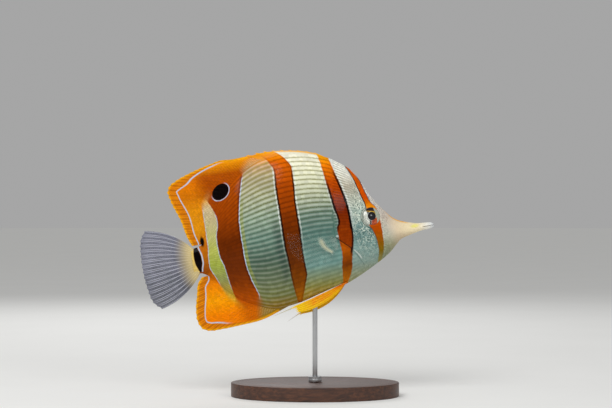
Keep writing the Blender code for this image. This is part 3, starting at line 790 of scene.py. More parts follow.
@dataclass(frozen=True)
class Pectoral:
    """A see-through fan behind a gill cover, swept back and out."""

    side: Side
    rays: int = 15
    root_top: tuple[float, float] = (23.7, 0.2)
    root_low: tuple[float, float] = (24.5, -4.8)
    top_deg: float = 14.0
    low_deg: float = -52.0
    length: float = 26.0
    low_share: float = 0.5
    splay: float = math.radians(24.0)
    sunk: float = 0.03
    off_skin: float = 0.2
    root_half: float = 0.7
    cup: float = 0.5

    def build(self) -> Object:
        """Lays the fin's sheet.

        Returns:
            The fin.
        """
        name = f"pectoral_{self.side.name.lower()}_sheet"
        shape = FinShape(name, self.rays, rows=36, membrane=0.05, crest=0.13, notch=0.03, branch_gap=0.2)
        across, along = shape.grid()
        shares = across[:, 0]
        root_u = mix(self.root_top[0], self.root_low[0], shares)
        height = BODY.share_of_height(root_u, mix(self.root_top[1], self.root_low[1], shares))
        root = BODY.surface(root_u, height, self.side, BODY.flesh_half)
        normal = unit(BODY.surface(root_u, height, self.side, BODY.flesh_half, np.ones_like(shares)) - root)
        fan = np.radians(mix(self.top_deg, self.low_deg, shares))[:, None]
        back = np.array([-math.cos(self.splay), 0.0, self.side.value * math.sin(self.splay)])
        out = np.array([math.sin(self.splay), 0.0, self.side.value * math.cos(self.splay)])
        direction = back * np.cos(fan) + np.array([0.0, 1.0, 0.0]) * np.sin(fan)
        length = self.length * mix(1.0, self.low_share, ease(shares, 0.15, 1.0)) * shape.reach(shares)
        along = along * (1 + self.sunk) - self.sunk
        run = length[:, None] * along
        middle = root[:, None] + normal[:, None] * self.off_skin + direction[:, None] * run[..., None]
        settled = ease(along, 0.0, 0.28)[..., None]
        root_half = np.array([self.root_half, 0.0, 0.0]) - normal * (normal[:, :1] * self.root_half)
        ray = shape.ray(across, np.clip(along, 0, 1))
        half = shape.membrane + shape.crest * ray * (1 - 0.6 * along)
        cup = self.cup * np.sin(math.pi * across) * ease(along, 0.1, 0.9)
        middle = middle + out * cup[..., None]
        thick = root_half[:, None] * (1 - settled) + out * half[..., None] * settled
        marks = {"ray": ray, "along": np.clip(along, 0, 1), "across": across, "rim": length[:, None] - run}
        return shape.closed(middle, thick, np.ones_like(across), marks)


@dataclass(frozen=True)
class Pelvic:
    """A pelvic fin under the belly: a spine, a long first ray that ends in a thread, four rays more."""

    side: Side
    drop: float
    thread: float
    middle_depth: float
    end_depth: float
    root_rear: float = 23.6
    root_front: float = 27.0
    out: float = 3.3
    lean: float = 0.6
    length: float = 26.0
    thread_at: float = 0.2
    thread_half: float = 0.1
    crest: float = 0.36
    even_share: float = 0.93
    even_rows: float = 0.8
    thread_rows: float = 0.2

    def half(self, run: Array, crest: Array | float) -> Array:
        """Half the thickness along the fin."""
        return 0.14 + 0.5 * (1 - run) ** 3 + crest * (1 - 0.5 * run)

    def belly_under(self, u: Array, w: Array) -> Array:
        """The belly's height at places along the body and distances from its middle.

        Args:
            u: Places along the body.
            w: Distances from its middle.

        Returns:
            Heights of the fish's frame.
        """
        shares = np.linspace(0.0, 0.42, 500)
        reached = BODY.flesh_half(np.asarray(u)[..., None], shares) >= np.asarray(w)[..., None]
        share = shares[np.argmax(reached, axis=-1)]
        return mix(BODY.belly(u), BODY.back(u), share)

    def build(self) -> Object:
        """Lays the fin's sheet.

        Returns:
            The fin.
        """
        name = f"pelvic_{self.side.name.lower()}_sheet"
        shape = FinShape(name, 6, columns_per_ray=18, rows=46, crest=0.2, branch_from=0.5)
        across, along = shape.grid()
        shares = across[:, 0]
        backward = np.array([-math.cos(self.drop), -math.sin(self.drop)])
        downward = np.array([math.sin(self.drop), -math.cos(self.drop)])
        inside = self.out - self.half(np.array(0.0), self.crest)
        start = np.array([self.root_rear, float(self.belly_under(self.root_rear, inside)) - 0.2])
        root_u = mix(self.root_rear, self.root_front, shares)
        root = np.stack([root_u, self.belly_under(root_u, inside + 0 * root_u) + 0.4], axis=-1)
        even = self.even_share * self.length
        near_thread = np.clip(1 - np.abs(shares - self.thread_at) / self.thread_half, 0, 1)
        reach = self.length * (1 - 0.05 * np.abs(np.sin(math.pi * shares * 5)))
        reach = mix(reach, self.thread, near_thread**1.1)[:, None]
        beyond = np.clip((along - self.even_rows) / self.thread_rows, 0, 1)
        distance = even * np.minimum(along / self.even_rows, 1) + (reach - even) * beyond
        run = np.clip(distance / even, 0, 1)
        depth = (self.middle_depth * 4 * run * (1 - run) + self.end_depth * run) * across
        flat = root[:, None] * (1 - run[..., None]) + start * run[..., None]
        flat = flat + backward * distance[..., None] + downward * depth[..., None]
        steps = np.linspace(0, self.thread, 80)
        centre = start + backward * steps[:, None]
        share = np.clip(steps / self.length, 0, 1)
        under = self.belly_under(centre[:, 0], self.out - self.lean * share - self.half(share, self.crest))
        sag = np.maximum(0.0, centre[:, 1] - under + 0.2)
        sag = np.interp(distance, steps, sag)
        flat[..., 1] -= sag
        spine = bump(across, 0.0, 0.1)
        ray = np.maximum(shape.ray(across, run), spine)
        half = self.half(run, 0.18 * ray + 0.2 * spine) * mix(1.0, 0.75, ease(distance, even, self.length))
        w = self.side.value * (self.out - self.lean * run)
        middle = np.concatenate([flat, w[..., None]], axis=-1)
        past = np.clip(distance - even, 0, 20)
        marks = {"ray": ray, "spine": spine, "along": run, "across": across, "past": past}
        return shape.closed(middle, OUTWARD * self.side.value, half, marks)


def turned(
    at: tuple[float, float], side: Side, radii: Array, heights: Array, turns: int
) -> tuple[Array, dict[str, Array]]:
    """Points turned round an axis that stands out of the plain flesh.

    Args:
        at: Where the axis stands in the side view.
        side: The fish's side.
        radii: Distances from the axis.
        heights: Heights over the skin.
        turns: Steps of one turn.

    Returns:
        Points, turns by rings, and how far ahead of the axis and above it they lie.
    """
    u, share = np.array([at[0]]), np.array([float(BODY.share_of_height(*at))])
    point = BODY.surface(u, share, side, BODY.flesh_half)[0]
    out = unit(BODY.surface(u, share, side, BODY.flesh_half, np.array([1.0]))[0] - point)
    forward = unit(np.array([1.0, 0.0, 0.0]) - out * out[0])
    upward = unit(np.cross(out, forward))
    upward = upward if upward[1] > 0 else -upward
    angle = np.linspace(0, 2 * math.pi, turns + 1)[:, None]
    ahead, above = radii * np.cos(angle), radii * np.sin(angle)
    points = point + out * (heights + 0 * angle)[..., None]
    points = points + forward * ahead[..., None] + upward * above[..., None]
    return points, {"ahead": ahead, "above": above}


@dataclass(frozen=True)
class Eye:
    """An eye: a glassy dome with a raised pupil over a dished iris, and the rim of its orbit."""

    side: Side
    radius: float = 4.5
    dome_radius: float = 7.6
    pupil_radius: float = 2.1
    turns: int = 72

    def dome(self, radius: Array) -> Array:
        """The dome's height over the eye's plane."""
        edge = math.sqrt(self.dome_radius**2 - self.radius**2)
        return np.sqrt(self.dome_radius**2 - radius**2) - edge

    def build_ball(self) -> Object:
        """Turns the dome, the iris and the back of the eye.

        Returns:
            The eye.
        """
        radii = np.concatenate([np.linspace(0, self.pupil_radius, 9), np.linspace(2.2, self.radius, 18)])
        heights = self.dome(radii) + 0.12 * (1 - ease(radii, 1.2, 3.4))
        radii = np.concatenate([radii, [4.5, 4.2, 2.0, 0.0]])
        heights = np.concatenate([heights, [-0.6, -1.2, -1.4, -1.4]])
        points, marks = turned(BODY.eye_at, self.side, radii, heights, self.turns)
        return Sheet(f"eyeball_{self.side.name.lower()}", points, marks).build()

    def build_orbit(self) -> Object:
        """Lays the rim of the orbit from the eye's edge down to the skin.

        Returns:
            The rim.
        """
        radii, heights = np.array((
            (4.36, -0.2), (4.38, 0.0), (4.44, 0.12), (4.56, 0.2), (4.72, 0.24), (4.9, 0.24), (5.1, 0.2),
            (5.35, 0.14), (5.65, 0.08), (6.0, 0.02), (6.4, -0.04), (6.8, -0.12), (6.8, -0.8),
            (4.36, -0.8), (4.36, -0.2),
        )).T
        on_plane, marks = turned(BODY.eye_at, self.side, radii, heights, self.turns)
        u, v = BODY.eye_at[0] + marks["ahead"], BODY.eye_at[1] + marks["above"]
        share = np.clip(BODY.share_of_height(u, v), 0.0, 0.995)
        on_skin = BODY.surface(u, share, self.side, BODY.flesh_half, heights + 0 * u)
        settled = ease(radii, 4.6, 5.9)[None, :, None] * np.ones_like(on_plane)
        return Sheet(f"orbit_rim_{self.side.name.lower()}", mix(on_plane, on_skin, settled), marks).build()


@dataclass(frozen=True)
class Nostrils:
    """The two pairs of nostrils, each a small pit with a soft raised rim."""

    turns: int = 32

    def build(self) -> Object:
        """Turns every nostril and joins them.

        Returns:
            The rims and pits as one piece.
        """
        radii, heights = np.array((
            (0.0, -0.42), (0.25, -0.4), (0.5, -0.28), (0.72, -0.02), (0.86, 0.1), (1.0, 0.15), (1.2, 0.12),
            (1.5, 0.05), (1.9, -0.04), (2.3, -0.16), (2.3, -0.5), (0.0, -0.5),
        )).T
        made = []
        for side in Side:
            for u, v, size in BODY.nostrils:
                points, _ = turned((u, v), side, radii * size, heights * min(1.0, size * 2), self.turns)
                depth = np.broadcast_to(1 - ease(radii, 0.5, 0.95), points.shape[:2])
                made.append(Sheet(f"nostril_{len(made)}", points, {"pit": depth}).build())
        deselect()
        for piece in made:
            piece.select_set(True)
        bpy.context.view_layer.objects.active = made[0]
        bpy.ops.object.join()
        made[0].name = made[0].data.name = "nostril_rims"
        return made[0]


@dataclass(frozen=True)
class ScaleForm:
    """One scale: a fan of a plate that is rooted in the skin, domed across, with a raised free edge.

    Sizes are shares of the scale's length and half-width, and heights are in millimetres on a scale as
    long as full_length.
    """

    along: int = 4
    across: int = 7
    full_length: float = 3.0
    edge_round: tuple[float, float] = (0.32, 0.06)
    root_wide: float = 0.8
    root_height: float = -0.06
    edge_height: float = 0.17
    dome: float = 0.1
    lip: float = 0.07

    def model(self) -> tuple[Array, list[tuple[int, ...]]]:
        """Models the scale once: a grid is shaped, and its free edge turned down.

        Returns:
            Its points, as shares along and across with a height, and its faces.
        """
        deselect()
        bpy.ops.mesh.primitive_grid_add(x_subdivisions=self.along, y_subdivisions=self.across, size=2)
        piece = bpy.context.active_object
        mesh = piece.data
        for vertex in mesh.vertices:
            s, t = (vertex.co.x + 1) / 2, vertex.co.y
            s = s**0.8
            edge = 1 - self.edge_round[0] * t * t - self.edge_round[1] * t**4
            wide = self.root_wide + 0.2 * math.sin(math.pi * min(s / 1.1, 0.5))
            height = mix(self.root_height, self.edge_height, s**0.85) - self.dome * t * t * (0.4 + 0.6 * s)
            vertex.co = (s * edge, t * wide, height)
        with editing():
            bpy.ops.mesh.select_all(action="DESELECT")
        last = {i for i in range(len(mesh.vertices)) if i % (self.along + 1) == self.along}
        for made in mesh.edges:
            made.select = set(made.vertices) <= last
        with editing():
            bpy.ops.mesh.select_mode(type="EDGE")
            bpy.ops.mesh.extrude_region_move(TRANSFORM_OT_translate={"value": (-0.01, 0, -2 * self.lip)})
        points = np.array([v.co[:] for v in mesh.vertices])
        faces = [tuple(p.vertices) for p in mesh.polygons]
        bpy.data.objects.remove(piece)
        return points, faces


@dataclass(frozen=True)
class ScaleField:
    """A stretch of skin with rows of scales between a rear and a front limit."""

    rows: int
    rear: Callable[[Array], Array]
    front: Callable[[Array], Array]
    measured_at: float
    half: Callable[[Array, Array], Array]
    reach: float = 1.35
    breadth: float = 0.67
    step: float = 0.84
    eye_clear: float = 5.9

    def homes(self, seed: int) -> dict[str, Array]:
        """Where the scales are rooted, and their sizes.

        Args:
            seed: For the small differences between scales.

        Returns:
            Each scale's place, share, length, half-width and shade.
        """
        shares = np.linspace(0.0, 1.0, 500)
        u = np.full_like(shares, self.measured_at)
        at = np.stack([mix(BODY.belly(u), BODY.back(u), shares), BODY.flesh_half(u, shares)], axis=-1)
        run = np.concatenate([[0.0], np.cumsum(np.linalg.norm(np.diff(at, axis=0), axis=1))])
        row_shares = np.interp((np.arange(self.rows) + 0.5) / self.rows * run[-1], run, shares)
        steps = np.gradient(row_shares)
        lowest = float(self.rear(shares).min())
        stations, u_now = [], float(self.front(shares).max()) + 1.0
        while u_now > lowest:
            stations.append(u_now)
            u_now -= float(BODY.back(u_now) - BODY.belly(u_now)) * self.step / self.rows
        stations = np.array(stations)
        halves = np.append((stations[:-1] + stations[1:]) / 2, stations[-1])
        rng = np.random.default_rng(seed)
        found = []
        for k, (share, step) in enumerate(zip(row_shares, steps)):
            places = (halves if k % 2 else stations).copy()
            pitch = (BODY.back(places) - BODY.belly(places)) / self.rows
            places += rng.normal(0, 0.03, len(places)) * pitch
            inside = (places < self.front(share)) & (places > self.rear(share))
            v = mix(BODY.belly(places), BODY.back(places), share)
            inside &= np.hypot(places - BODY.eye_at[0], v - BODY.eye_at[1]) > self.eye_clear + 0.6 * pitch
            places, pitch = places[inside], pitch[inside]
            width = BODY.arc_step(places, share + 0 * places) * step
            found.append(np.stack([
                places, share + 0 * places, pitch * self.reach * rng.uniform(0.95, 1.06, len(places)),
                width * self.breadth * rng.uniform(0.97, 1.05, len(places)), rng.uniform(0, 1, len(places)),
            ], axis=-1))
        table = np.concatenate(found)
        return dict(zip(("u", "share", "length", "breadth", "shade"), table.T))


@dataclass(frozen=True)
class ScaleCoat:
    """Scales laid over one side, each bent to the skin, as one joined piece."""

    name: str
    side: Side
    fields: tuple[ScaleField, ...]
    form: ScaleForm
    seed: int
    snout_sunk: float = 0.2

    def build(self) -> Object:
        """Lays the coat.

        Returns:
            The joined scales.
        """
        template, faces = self.form.model()
        points, homes = [], []
        for number, region in enumerate(self.fields):
            home = region.homes(self.seed + number)
            x, y, h = template.T
            u = home["u"][:, None] - x * home["length"][:, None]
            per_share = BODY.arc_step(home["u"], home["share"])
            share = home["share"][:, None] + y * (home["breadth"] / per_share)[:, None]
            share = np.clip(share, 0.004, 0.996)
            sunk = COAT_DEPTH * 0.5 + self.snout_sunk * ease(home["u"], 50.0, 53.8)
            lift = h * (home["length"] / self.form.full_length)[:, None] - sunk[:, None]
            points.append(BODY.surface(u, share, self.side, region.half, lift))
            homes.append(np.stack([home[k] for k in ("u", "share", "shade")], axis=-1))
        points, homes = np.concatenate(points), np.concatenate(homes)
        return join_copies(self.name, points, homes, template, faces)


@dataclass(frozen=True)
class FinScales:
    """Small scales over a fin's fleshy foot, on both faces, as one joined piece."""

    fin: MedianFin
    pitch: float = 1.3
    cover: float = 0.66
    row_step: float = 0.66
    length: float = 1.5
    breadth: float = 0.64
    sunk: float = 0.03
    rim_clear: float = 0.9
    form: ScaleForm = ScaleForm(along=3, across=6, edge_height=0.2, dome=0.12)

    def build(self) -> Object:
        """Lays the scales.

        Returns:
            The joined scales.
        """
        fin, pitch = self.fin, self.pitch
        template, faces = self.form.model()
        x, y, h = template.T
        line = fin.base(np.linspace(0, 1, 60))
        count = int(np.linalg.norm(np.diff(line, axis=0), axis=1).sum() / pitch)
        rng = np.random.default_rng(count)
        points, homes = [], []
        for row in range(int(30 / pitch)):
            shares = (np.arange(count) + (0.25 if row % 2 else 0.75)) / count
            shares = shares + rng.normal(0, 0.03, count) / count
            from_root = (row * self.row_step - 0.4) * pitch
            along = from_root / fin.span(shares)
            tip, _ = fin.lay(shares, along + pitch * self.length / fin.span(shares))
            clear = fin.margin.distance(tip[..., :2]) - fin.line_depth(shares)
            keep = (clear > self.rim_clear) & (along < self.cover + rng.normal(0, 0.03, count))
            shares, along = shares[keep], along[keep]
            if not len(shares):
                break
            length = pitch * self.length * (1 - 0.3 * np.clip(along, 0, 1))
            across = shares[:, None] + y * (self.breadth / count)
            across = np.clip(across, 0.002, 0.998)
            out_to = along[:, None] + x * (length / fin.span(shares))[:, None]
            middle, half = fin.lay(across, out_to)
            lift = h * (length / self.form.full_length)[:, None] - self.sunk
            for side in Side:
                laid = middle.copy()
                laid[..., 2] += side.value * (half + lift)
                points.append(laid)
                chart = shares + (1.1 if side is Side.LEFT else 0.0)
                homes.append(np.stack([chart, along, rng.uniform(0, 1, len(shares))], axis=-1))
        name = fin.shape.name.replace("sheet", "scales")
        return join_copies(name, np.concatenate(points), np.concatenate(homes), template, faces)


def join_copies(
    name: str, points: Array, homes: Array, template: Array, faces: list[tuple[int, ...]]
) -> Object:
    """Joins laid copies of one small form as one piece.

    Args:
        name: The piece's name.
        points: Copies by points, in the fish's frame.
        homes: Each copy's two places on the chart's axes and its shade.
        template: The form's own points, for its place along and across.
        faces: The form's faces.

    Returns:
        The piece.
    """
    count, size = points.shape[:2]
    corners = np.array([c for face in faces for c in face])
    lengths = np.array([len(face) for face in faces])
    mesh = bpy.data.meshes.new(name)
    mesh.vertices.add(count * size)
    mesh.vertices.foreach_set("co", to_row(points).astype(np.float32).ravel())
    mesh.loops.add(count * len(corners))
    shifted = corners[None, :] + (np.arange(count) * size)[:, None]
    mesh.loops.foreach_set("vertex_index", shifted.astype(np.int32).ravel())
    mesh.polygons.add(count * len(faces))
    starts = np.cumsum(np.tile(lengths, count)) - np.tile(lengths, count)
    mesh.polygons.foreach_set("loop_start", starts.astype(np.int32))
    mesh.update(calc_edges=True)
    piece = link(name, mesh)
    low, high = homes[:, :2].min(0), homes[:, :2].max(0)
    at = CHART_EDGE + CHART_SPAN * (homes[:, :2] - low) / (high - low)
    shape = np.stack([template[:, 0] - 0.5, template[:, 1] * 0.5], axis=-1)
    add_chart(mesh, "OFBake", at[:, None] + shape * PATCH)
    local = np.stack([template[:, 0], template[:, 1] * 0.5 + 0.5], axis=-1)
    add_chart(mesh, "ScaleShape", np.broadcast_to(local, (count, size, 2)))
    add_marks(mesh, {"shade": np.repeat(homes[:, 2], size)})
    take(piece)
    bpy.ops.object.shade_smooth_by_angle(angle=SCALE_CREASE)
    return piece


class Wire:
    """A socket's value: Python's operators on it add Math nodes."""

    def __init__(self, web: Web, socket: bpy.types.NodeSocket) -> None:
        """Holds the socket and the web that it belongs to."""
        self.web = web
        self.socket = socket

    def __add__(self, other: Wire | float) -> Wire:
        """The sum."""
        return self.web.math("ADD", self, other)

    __radd__ = __add__

    def __sub__(self, other: Wire | float) -> Wire:
        """The difference."""
        return self.web.math("SUBTRACT", self, other)

    def __rsub__(self, other: float) -> Wire:
        """The difference from a number."""
        return self.web.math("SUBTRACT", other, self)

    def __mul__(self, other: Wire | float) -> Wire:
        """The product."""
        return self.web.math("MULTIPLY", self, other)

    __rmul__ = __mul__

    def __truediv__(self, other: Wire | float) -> Wire:
        """The quotient."""
        return self.web.math("DIVIDE", self, other)

    def __pow__(self, other: float) -> Wire:
        """The power."""
        return self.web.math("POWER", self, other)

    def __abs__(self) -> Wire:
        """The size without its sign."""
        return self.web.math("ABSOLUTE", self)


Layers = Sequence[tuple[Wire | Colour, Wire | float]]


class Web:
    """A material's nodes, written as expressions."""

    def __init__(self, name: str) -> None:
        """Starts an empty material.

        Args:
            name: The material's name.
        """
        self.material = bpy.data.materials.new(name)
        self.material.use_nodes = True
        self.tree = self.material.node_tree
        self.tree.nodes.clear()
        self.known: dict[str, Wire] = {}

    def node(
        self, kind: str, settings: dict[str, object] | None = None,
        sockets: dict[str | int, object] | None = None, out: str | int = 0,
    ) -> Wire:
        """Adds any node.

        Args:
            kind: The node's type without its ShaderNode prefix.
            settings: Its own settings, set first. stops are a ramp's and knots a curve's.
            sockets: Values or wires of its sockets.
            out: The output to read.

        Returns:
            That output.
        """
        made = self.tree.nodes.new("ShaderNode" + kind)
        for name, value in (settings or {}).items():
            if name == "stops":
                self.set_stops(made.color_ramp.elements, value)
            elif name == "knots":
                self.set_knots(made.mapping, value)
            else:
                setattr(made, name, value)
        for name, value in (sockets or {}).items():
            if isinstance(value, Wire):
                self.tree.links.new(value.socket, made.inputs[name])
            elif value is not None:
                made.inputs[name].default_value = value
        return Wire(self, made.outputs[out])

    @staticmethod
    def set_stops(elements: bpy.types.bpy_prop_collection, stops: Sequence[tuple[float, Colour]]) -> None:
        """Sets a ramp's places and colours.

        Args:
            elements: The ramp's elements.
            stops: Places and colours.
        """
        while len(elements) < len(stops):
            elements.new(1.0)
        for element, (place, colour) in zip(elements, stops):
            element.position = place
            element.color = colour

    @staticmethod
    def set_knots(mapping: bpy.types.CurveMapping, knots: Knots) -> None:
        """Sets a curve's points, which lie between 0 and 1 both ways.

        Args:
            mapping: The node's curve.
            knots: Places and values.
        """
        points = mapping.curves[0].points
        while len(points) < len(knots):
            points.new(0.5, 0.5)
        for point, (place, value) in zip(points, sorted(knots)):
            point.location = (place, value)
            point.handle_type = "AUTO_CLAMPED"
        mapping.update()

    def math(self, operation: str, *values: Wire | float) -> Wire:
        """Adds a Math node."""
        return self.node("Math", {"operation": operation}, dict(enumerate(values)))

    def most(self, a: Wire | float, b: Wire | float) -> Wire:
        """The larger of two values."""
        return self.math("MAXIMUM", a, b)

    def least(self, a: Wire | float, b: Wire | float) -> Wire:
        """The smaller of two values."""
        return self.math("MINIMUM", a, b)

    def rise(self, value: Wire, low: float, high: float) -> Wire:
        """A smooth rise from 0 at low to 1 at high.

        Args:
            value: The value.
            low, high: Where the rise starts and ends.

        Returns:
            The share.
        """
        return self.node(
            "MapRange", {"interpolation_type": "SMOOTHSTEP"}, {0: value, 1: low, 2: high, 3: 0.0, 4: 1.0}
        )

    def fall(self, value: Wire, low: float, high: float) -> Wire:
        """A smooth fall from 1 at low to 0 at high."""
        return 1 - self.rise(value, low, high)

    def waves(self, value: Wire) -> Wire:
        """Waves between 0 and 1."""
        return self.math("SINE", value) * 0.5 + 0.5

    def span(self, a: Wire, b: Wire) -> Wire:
        """The length of two parts at right angles."""
        return (a * a + b * b) ** 0.5

    def between(self, value: Wire, low: float, high: float, soft: float) -> Wire:
        """1 between two limits, with soft ends."""
        return self.rise(value, low - soft, low + soft) * self.fall(value, high - soft, high + soft)

    def streak(self, away: Wire, half: float, soft: float) -> Wire:
        """1 close to 0, with soft sides."""
        return self.fall(abs(away), max(0.0, half - soft), half + soft)

    def curve(self, value: Wire, knots: Knots, low: float, high: float, least: float, most: float) -> Wire:
        """Reads a smooth curve.

        Args:
            value: The place on it.
            knots: Its places and values.
            low, high: The span of places.
            least, most: The span of values.

        Returns:
            The curve's value.
        """
        scaled = [((k - low) / (high - low), (x - least) / (most - least)) for k, x in knots]
        share = (value - low) * (1 / (high - low))
        found = self.node("FloatCurve", {"knots": scaled}, {0: 1.0, 1: share})
        return found * (most - least) + least

    def ramp(self, value: Wire, stops: Stops, low: float, high: float) -> Wire:
        """A colour by a value between two limits."""
        scaled = [((place - low) / (high - low), srgb(*rgb)) for place, *rgb in sorted(stops)]
        return self.node("ValToRGB", {"stops": scaled}, {0: (value - low) * (1 / (high - low))})

    def blend(self, a: object, b: object, share: Wire | float) -> Wire:
        """Mixes two colours."""
        settings = {"data_type": "RGBA", "clamp_factor": True}
        return self.node("Mix", settings, {0: share, 6: a, 7: b}, 2)

    def layers(self, colour: Wire, layers: Layers) -> Wire:
        """Lays colours over a colour, each by its share.

        Args:
            colour: The colour underneath.
            layers: Colours and their shares, from below.

        Returns:
            The colour on top.
        """
        for tint, share in layers:
            colour = self.blend(colour, tint, share)
        return colour

    def mark(self, name: str) -> Wire:
        """A number kept on the piece's points.

        Args:
            name: The number's name.

        Returns:
            The number.
        """
        if name not in self.known:
            self.known[name] = self.node("Attribute", {"attribute_name": name}, out="Fac")
        return self.known[name]

    def parts(self, vector: Wire) -> list[Wire]:
        """A vector's three parts."""
        outs = self.node("SeparateXYZ", sockets={0: vector}).socket.node.outputs
        return [Wire(self, outs[k]) for k in range(3)]

    def noise(self, place: Wire, size: float, detail: float = 2.0, roughness: float = 0.5) -> Wire:
        """Noise between about 0 and 1, with features of a size in millimetres.

        Args:
            place: Where the noise is read.
            size: The features' size.
            detail, roughness: How fine it is, and how strong its fine part.

        Returns:
            The noise.
        """
        return self.node(
            "TexNoise", sockets={"Vector": place, "Scale": 1 / size, "Detail": detail, "Roughness": roughness}
        )

    def drawn_out(self, scale: tuple[float, float, float], **sockets: float) -> Wire:
        """Noise drawn out along the piece.

        Args:
            scale: How dense it is along each axis.
            sockets: The noise's other sockets.

        Returns:
            The noise.
        """
        place = self.node("TexCoord", out="Object")
        place = self.node("Mapping", sockets={"Vector": place, "Scale": scale})
        return self.node("TexNoise", sockets={"Vector": place, "Scale": 1.0, **sockets})

    def bump(self, height: Wire, depth: float) -> Wire:
        """A Bump node from a height between 0 and 1 and its depth in millimetres."""
        return self.node("Bump", sockets={"Strength": 1.0, "Distance": depth * MM, "Height": height})

    def surface(
        self, colour: Wire, rough: Wire | float, normal: Wire | None = None, coat: float | None = None,
        coat_rough: float | None = None, specular: float | None = None, **more: object,
    ) -> Material:
        """Ends the material in a Principled shader.

        Args:
            colour, rough, normal: The surface's base colour, roughness and normal.
            coat, coat_rough: The clear coat's weight and roughness.
            specular: The specular level. What is None stays as it is.
            more: Other sockets by name, with underscores for spaces.

        Returns:
            The material.
        """
        names = ("Base Color", "Roughness", "Normal", "Coat Weight", "Coat Roughness", "Specular IOR Level")
        sockets = dict(zip(names, (colour, rough, normal, coat, coat_rough, specular)))
        sockets.update({name.replace("_", " "): value for name, value in more.items()})
        shader = self.node("BsdfPrincipled", sockets=sockets)
        out = self.tree.nodes.new("ShaderNodeOutputMaterial")
        self.tree.links.new(shader.socket, out.inputs["Surface"])
        return self.material


@dataclass(frozen=True)
class FishAxes:
    """Where a shaded point lies on the fish, in millimetres: forward, up, out, and all three at once."""

    u: Wire
    v: Wire
    w: Wire
    place: Wire

    @staticmethod
    def of(web: Web) -> FishAxes:
        """Works the places out from the object's coordinates.

        Args:
            web: The material.

        Returns:
            The places.
        """
        x, y, z = (part * (1 / MM) for part in web.parts(web.node("TexCoord", out="Object")))
        z = z - AXIS_HEIGHT
        u = x * math.cos(NOSE_UP) + z * math.sin(NOSE_UP)
        v = z * math.cos(NOSE_UP) - x * math.sin(NOSE_UP)
        together = web.node("CombineXYZ", sockets={0: u, 1: v, 2: y})
        return FishAxes(u, v, y, together)


@dataclass(frozen=True)
class EdgeLine:
    """A thin line beside an edge of a bar.

    It lies offset ahead of the edge. Its strength goes by height: 0 at the lowest, then through the
    knots, and top at the highest.
    """

    edge: str
    offset: float
    half: float
    colour: Colour
    strength: Knots
    top: float = 0.0
    soft: float = 0.16


BLACK = srgb(8, 4, 4)
BLUE = srgb(188, 206, 226)
WHITE_LINE = srgb(222, 228, 222)
LOWEST, HIGHEST = -40.0, 50.0
EDGE_SOFT = 0.22

# Each edge's height and place, the ground before and behind each edge by height, and the lines beside them
EDGES: dict[str, Knots] = {
    "patch_rear": ((-26, -28.4), (-22.9, -31.5), (-18.4, -34.3), (-11.9, -36.8), (-3.9, -39.6),
        (7.2, -38.9), (16.3, -38.9), (26.3, -38.4), (29.5, -36.6)),
    "bar4_rear": ((-26, -28.4), (-14.3, -31.1), (-6.0, -32.3), (-1.3, -33.6), (7.9, -34.2), (16.8, -32.5),
        (20.9, -33.1), (29.5, -36.6)),
    "bar4_front": ((-31, -18.5), (-23.6, -17.4), (-16.2, -19.3), (-6.7, -21.3), (4, -21.6), (15.0, -21.4),
        (23.4, -20.1), (33.2, -17.8), (38.0, -16.3), (46, -13)),
    "bar3_rear": ((-28, 1.0), (-19.2, 0.0), (-9.5, -0.5), (2.7, -1.1), (16.4, -1.0), (28.0, -1.1),
        (37.6, -0.6), (41.3, -2.1), (44.7, -4.6), (48, -9)),
    "bar3_front": ((-28, 3.6), (-23.6, 5.1), (-19.3, 6.6), (-14.9, 7.8), (-6.8, 7.5), (7.4, 7.7),
        (20.0, 7.7), (30.1, 8.3), (37.6, 8.4), (41.5, 6.6), (44.7, 4.0), (48, -0.5)),
    "bar2_rear": ((-23, 24.8), (-14.2, 25.6), (-8.3, 26.5), (-1.6, 26.1), (4.5, 25.8), (7.4, 27.0),
        (15.2, 25.7), (24.0, 24.5), (34.3, 23.2), (37.9, 22.7), (45, 21.0)),
    "bar2_front": ((-24, 26.7), (-17.4, 29.9), (-9.0, 31.5), (-2.7, 33.0), (3.3, 33.4), (14.0, 33.1),
        (22.9, 31.5), (30.2, 29.6), (39.8, 27.1), (45, 25.4)),
    "bar1_rear": ((-15, 43.6), (-9.0, 44.8), (-3.5, 44.5), (1.8, 42.8), (4.5, 41.4), (12.6, 41.6),
        (18.8, 40.1), (26.2, 38.2), (30.0, 36.8), (33, 35.4)),
    "bar1_front": ((-15, 45.4), (-9.0, 47.4), (-3.0, 47.9), (2.0, 47.9), (6.5, 47.6), (11.5, 46.6),
        (14.7, 44.4), (18.5, 43.0), (22.2, 41.9), (25.8, 40.9), (29.1, 39.2), (33, 36.6)),
}
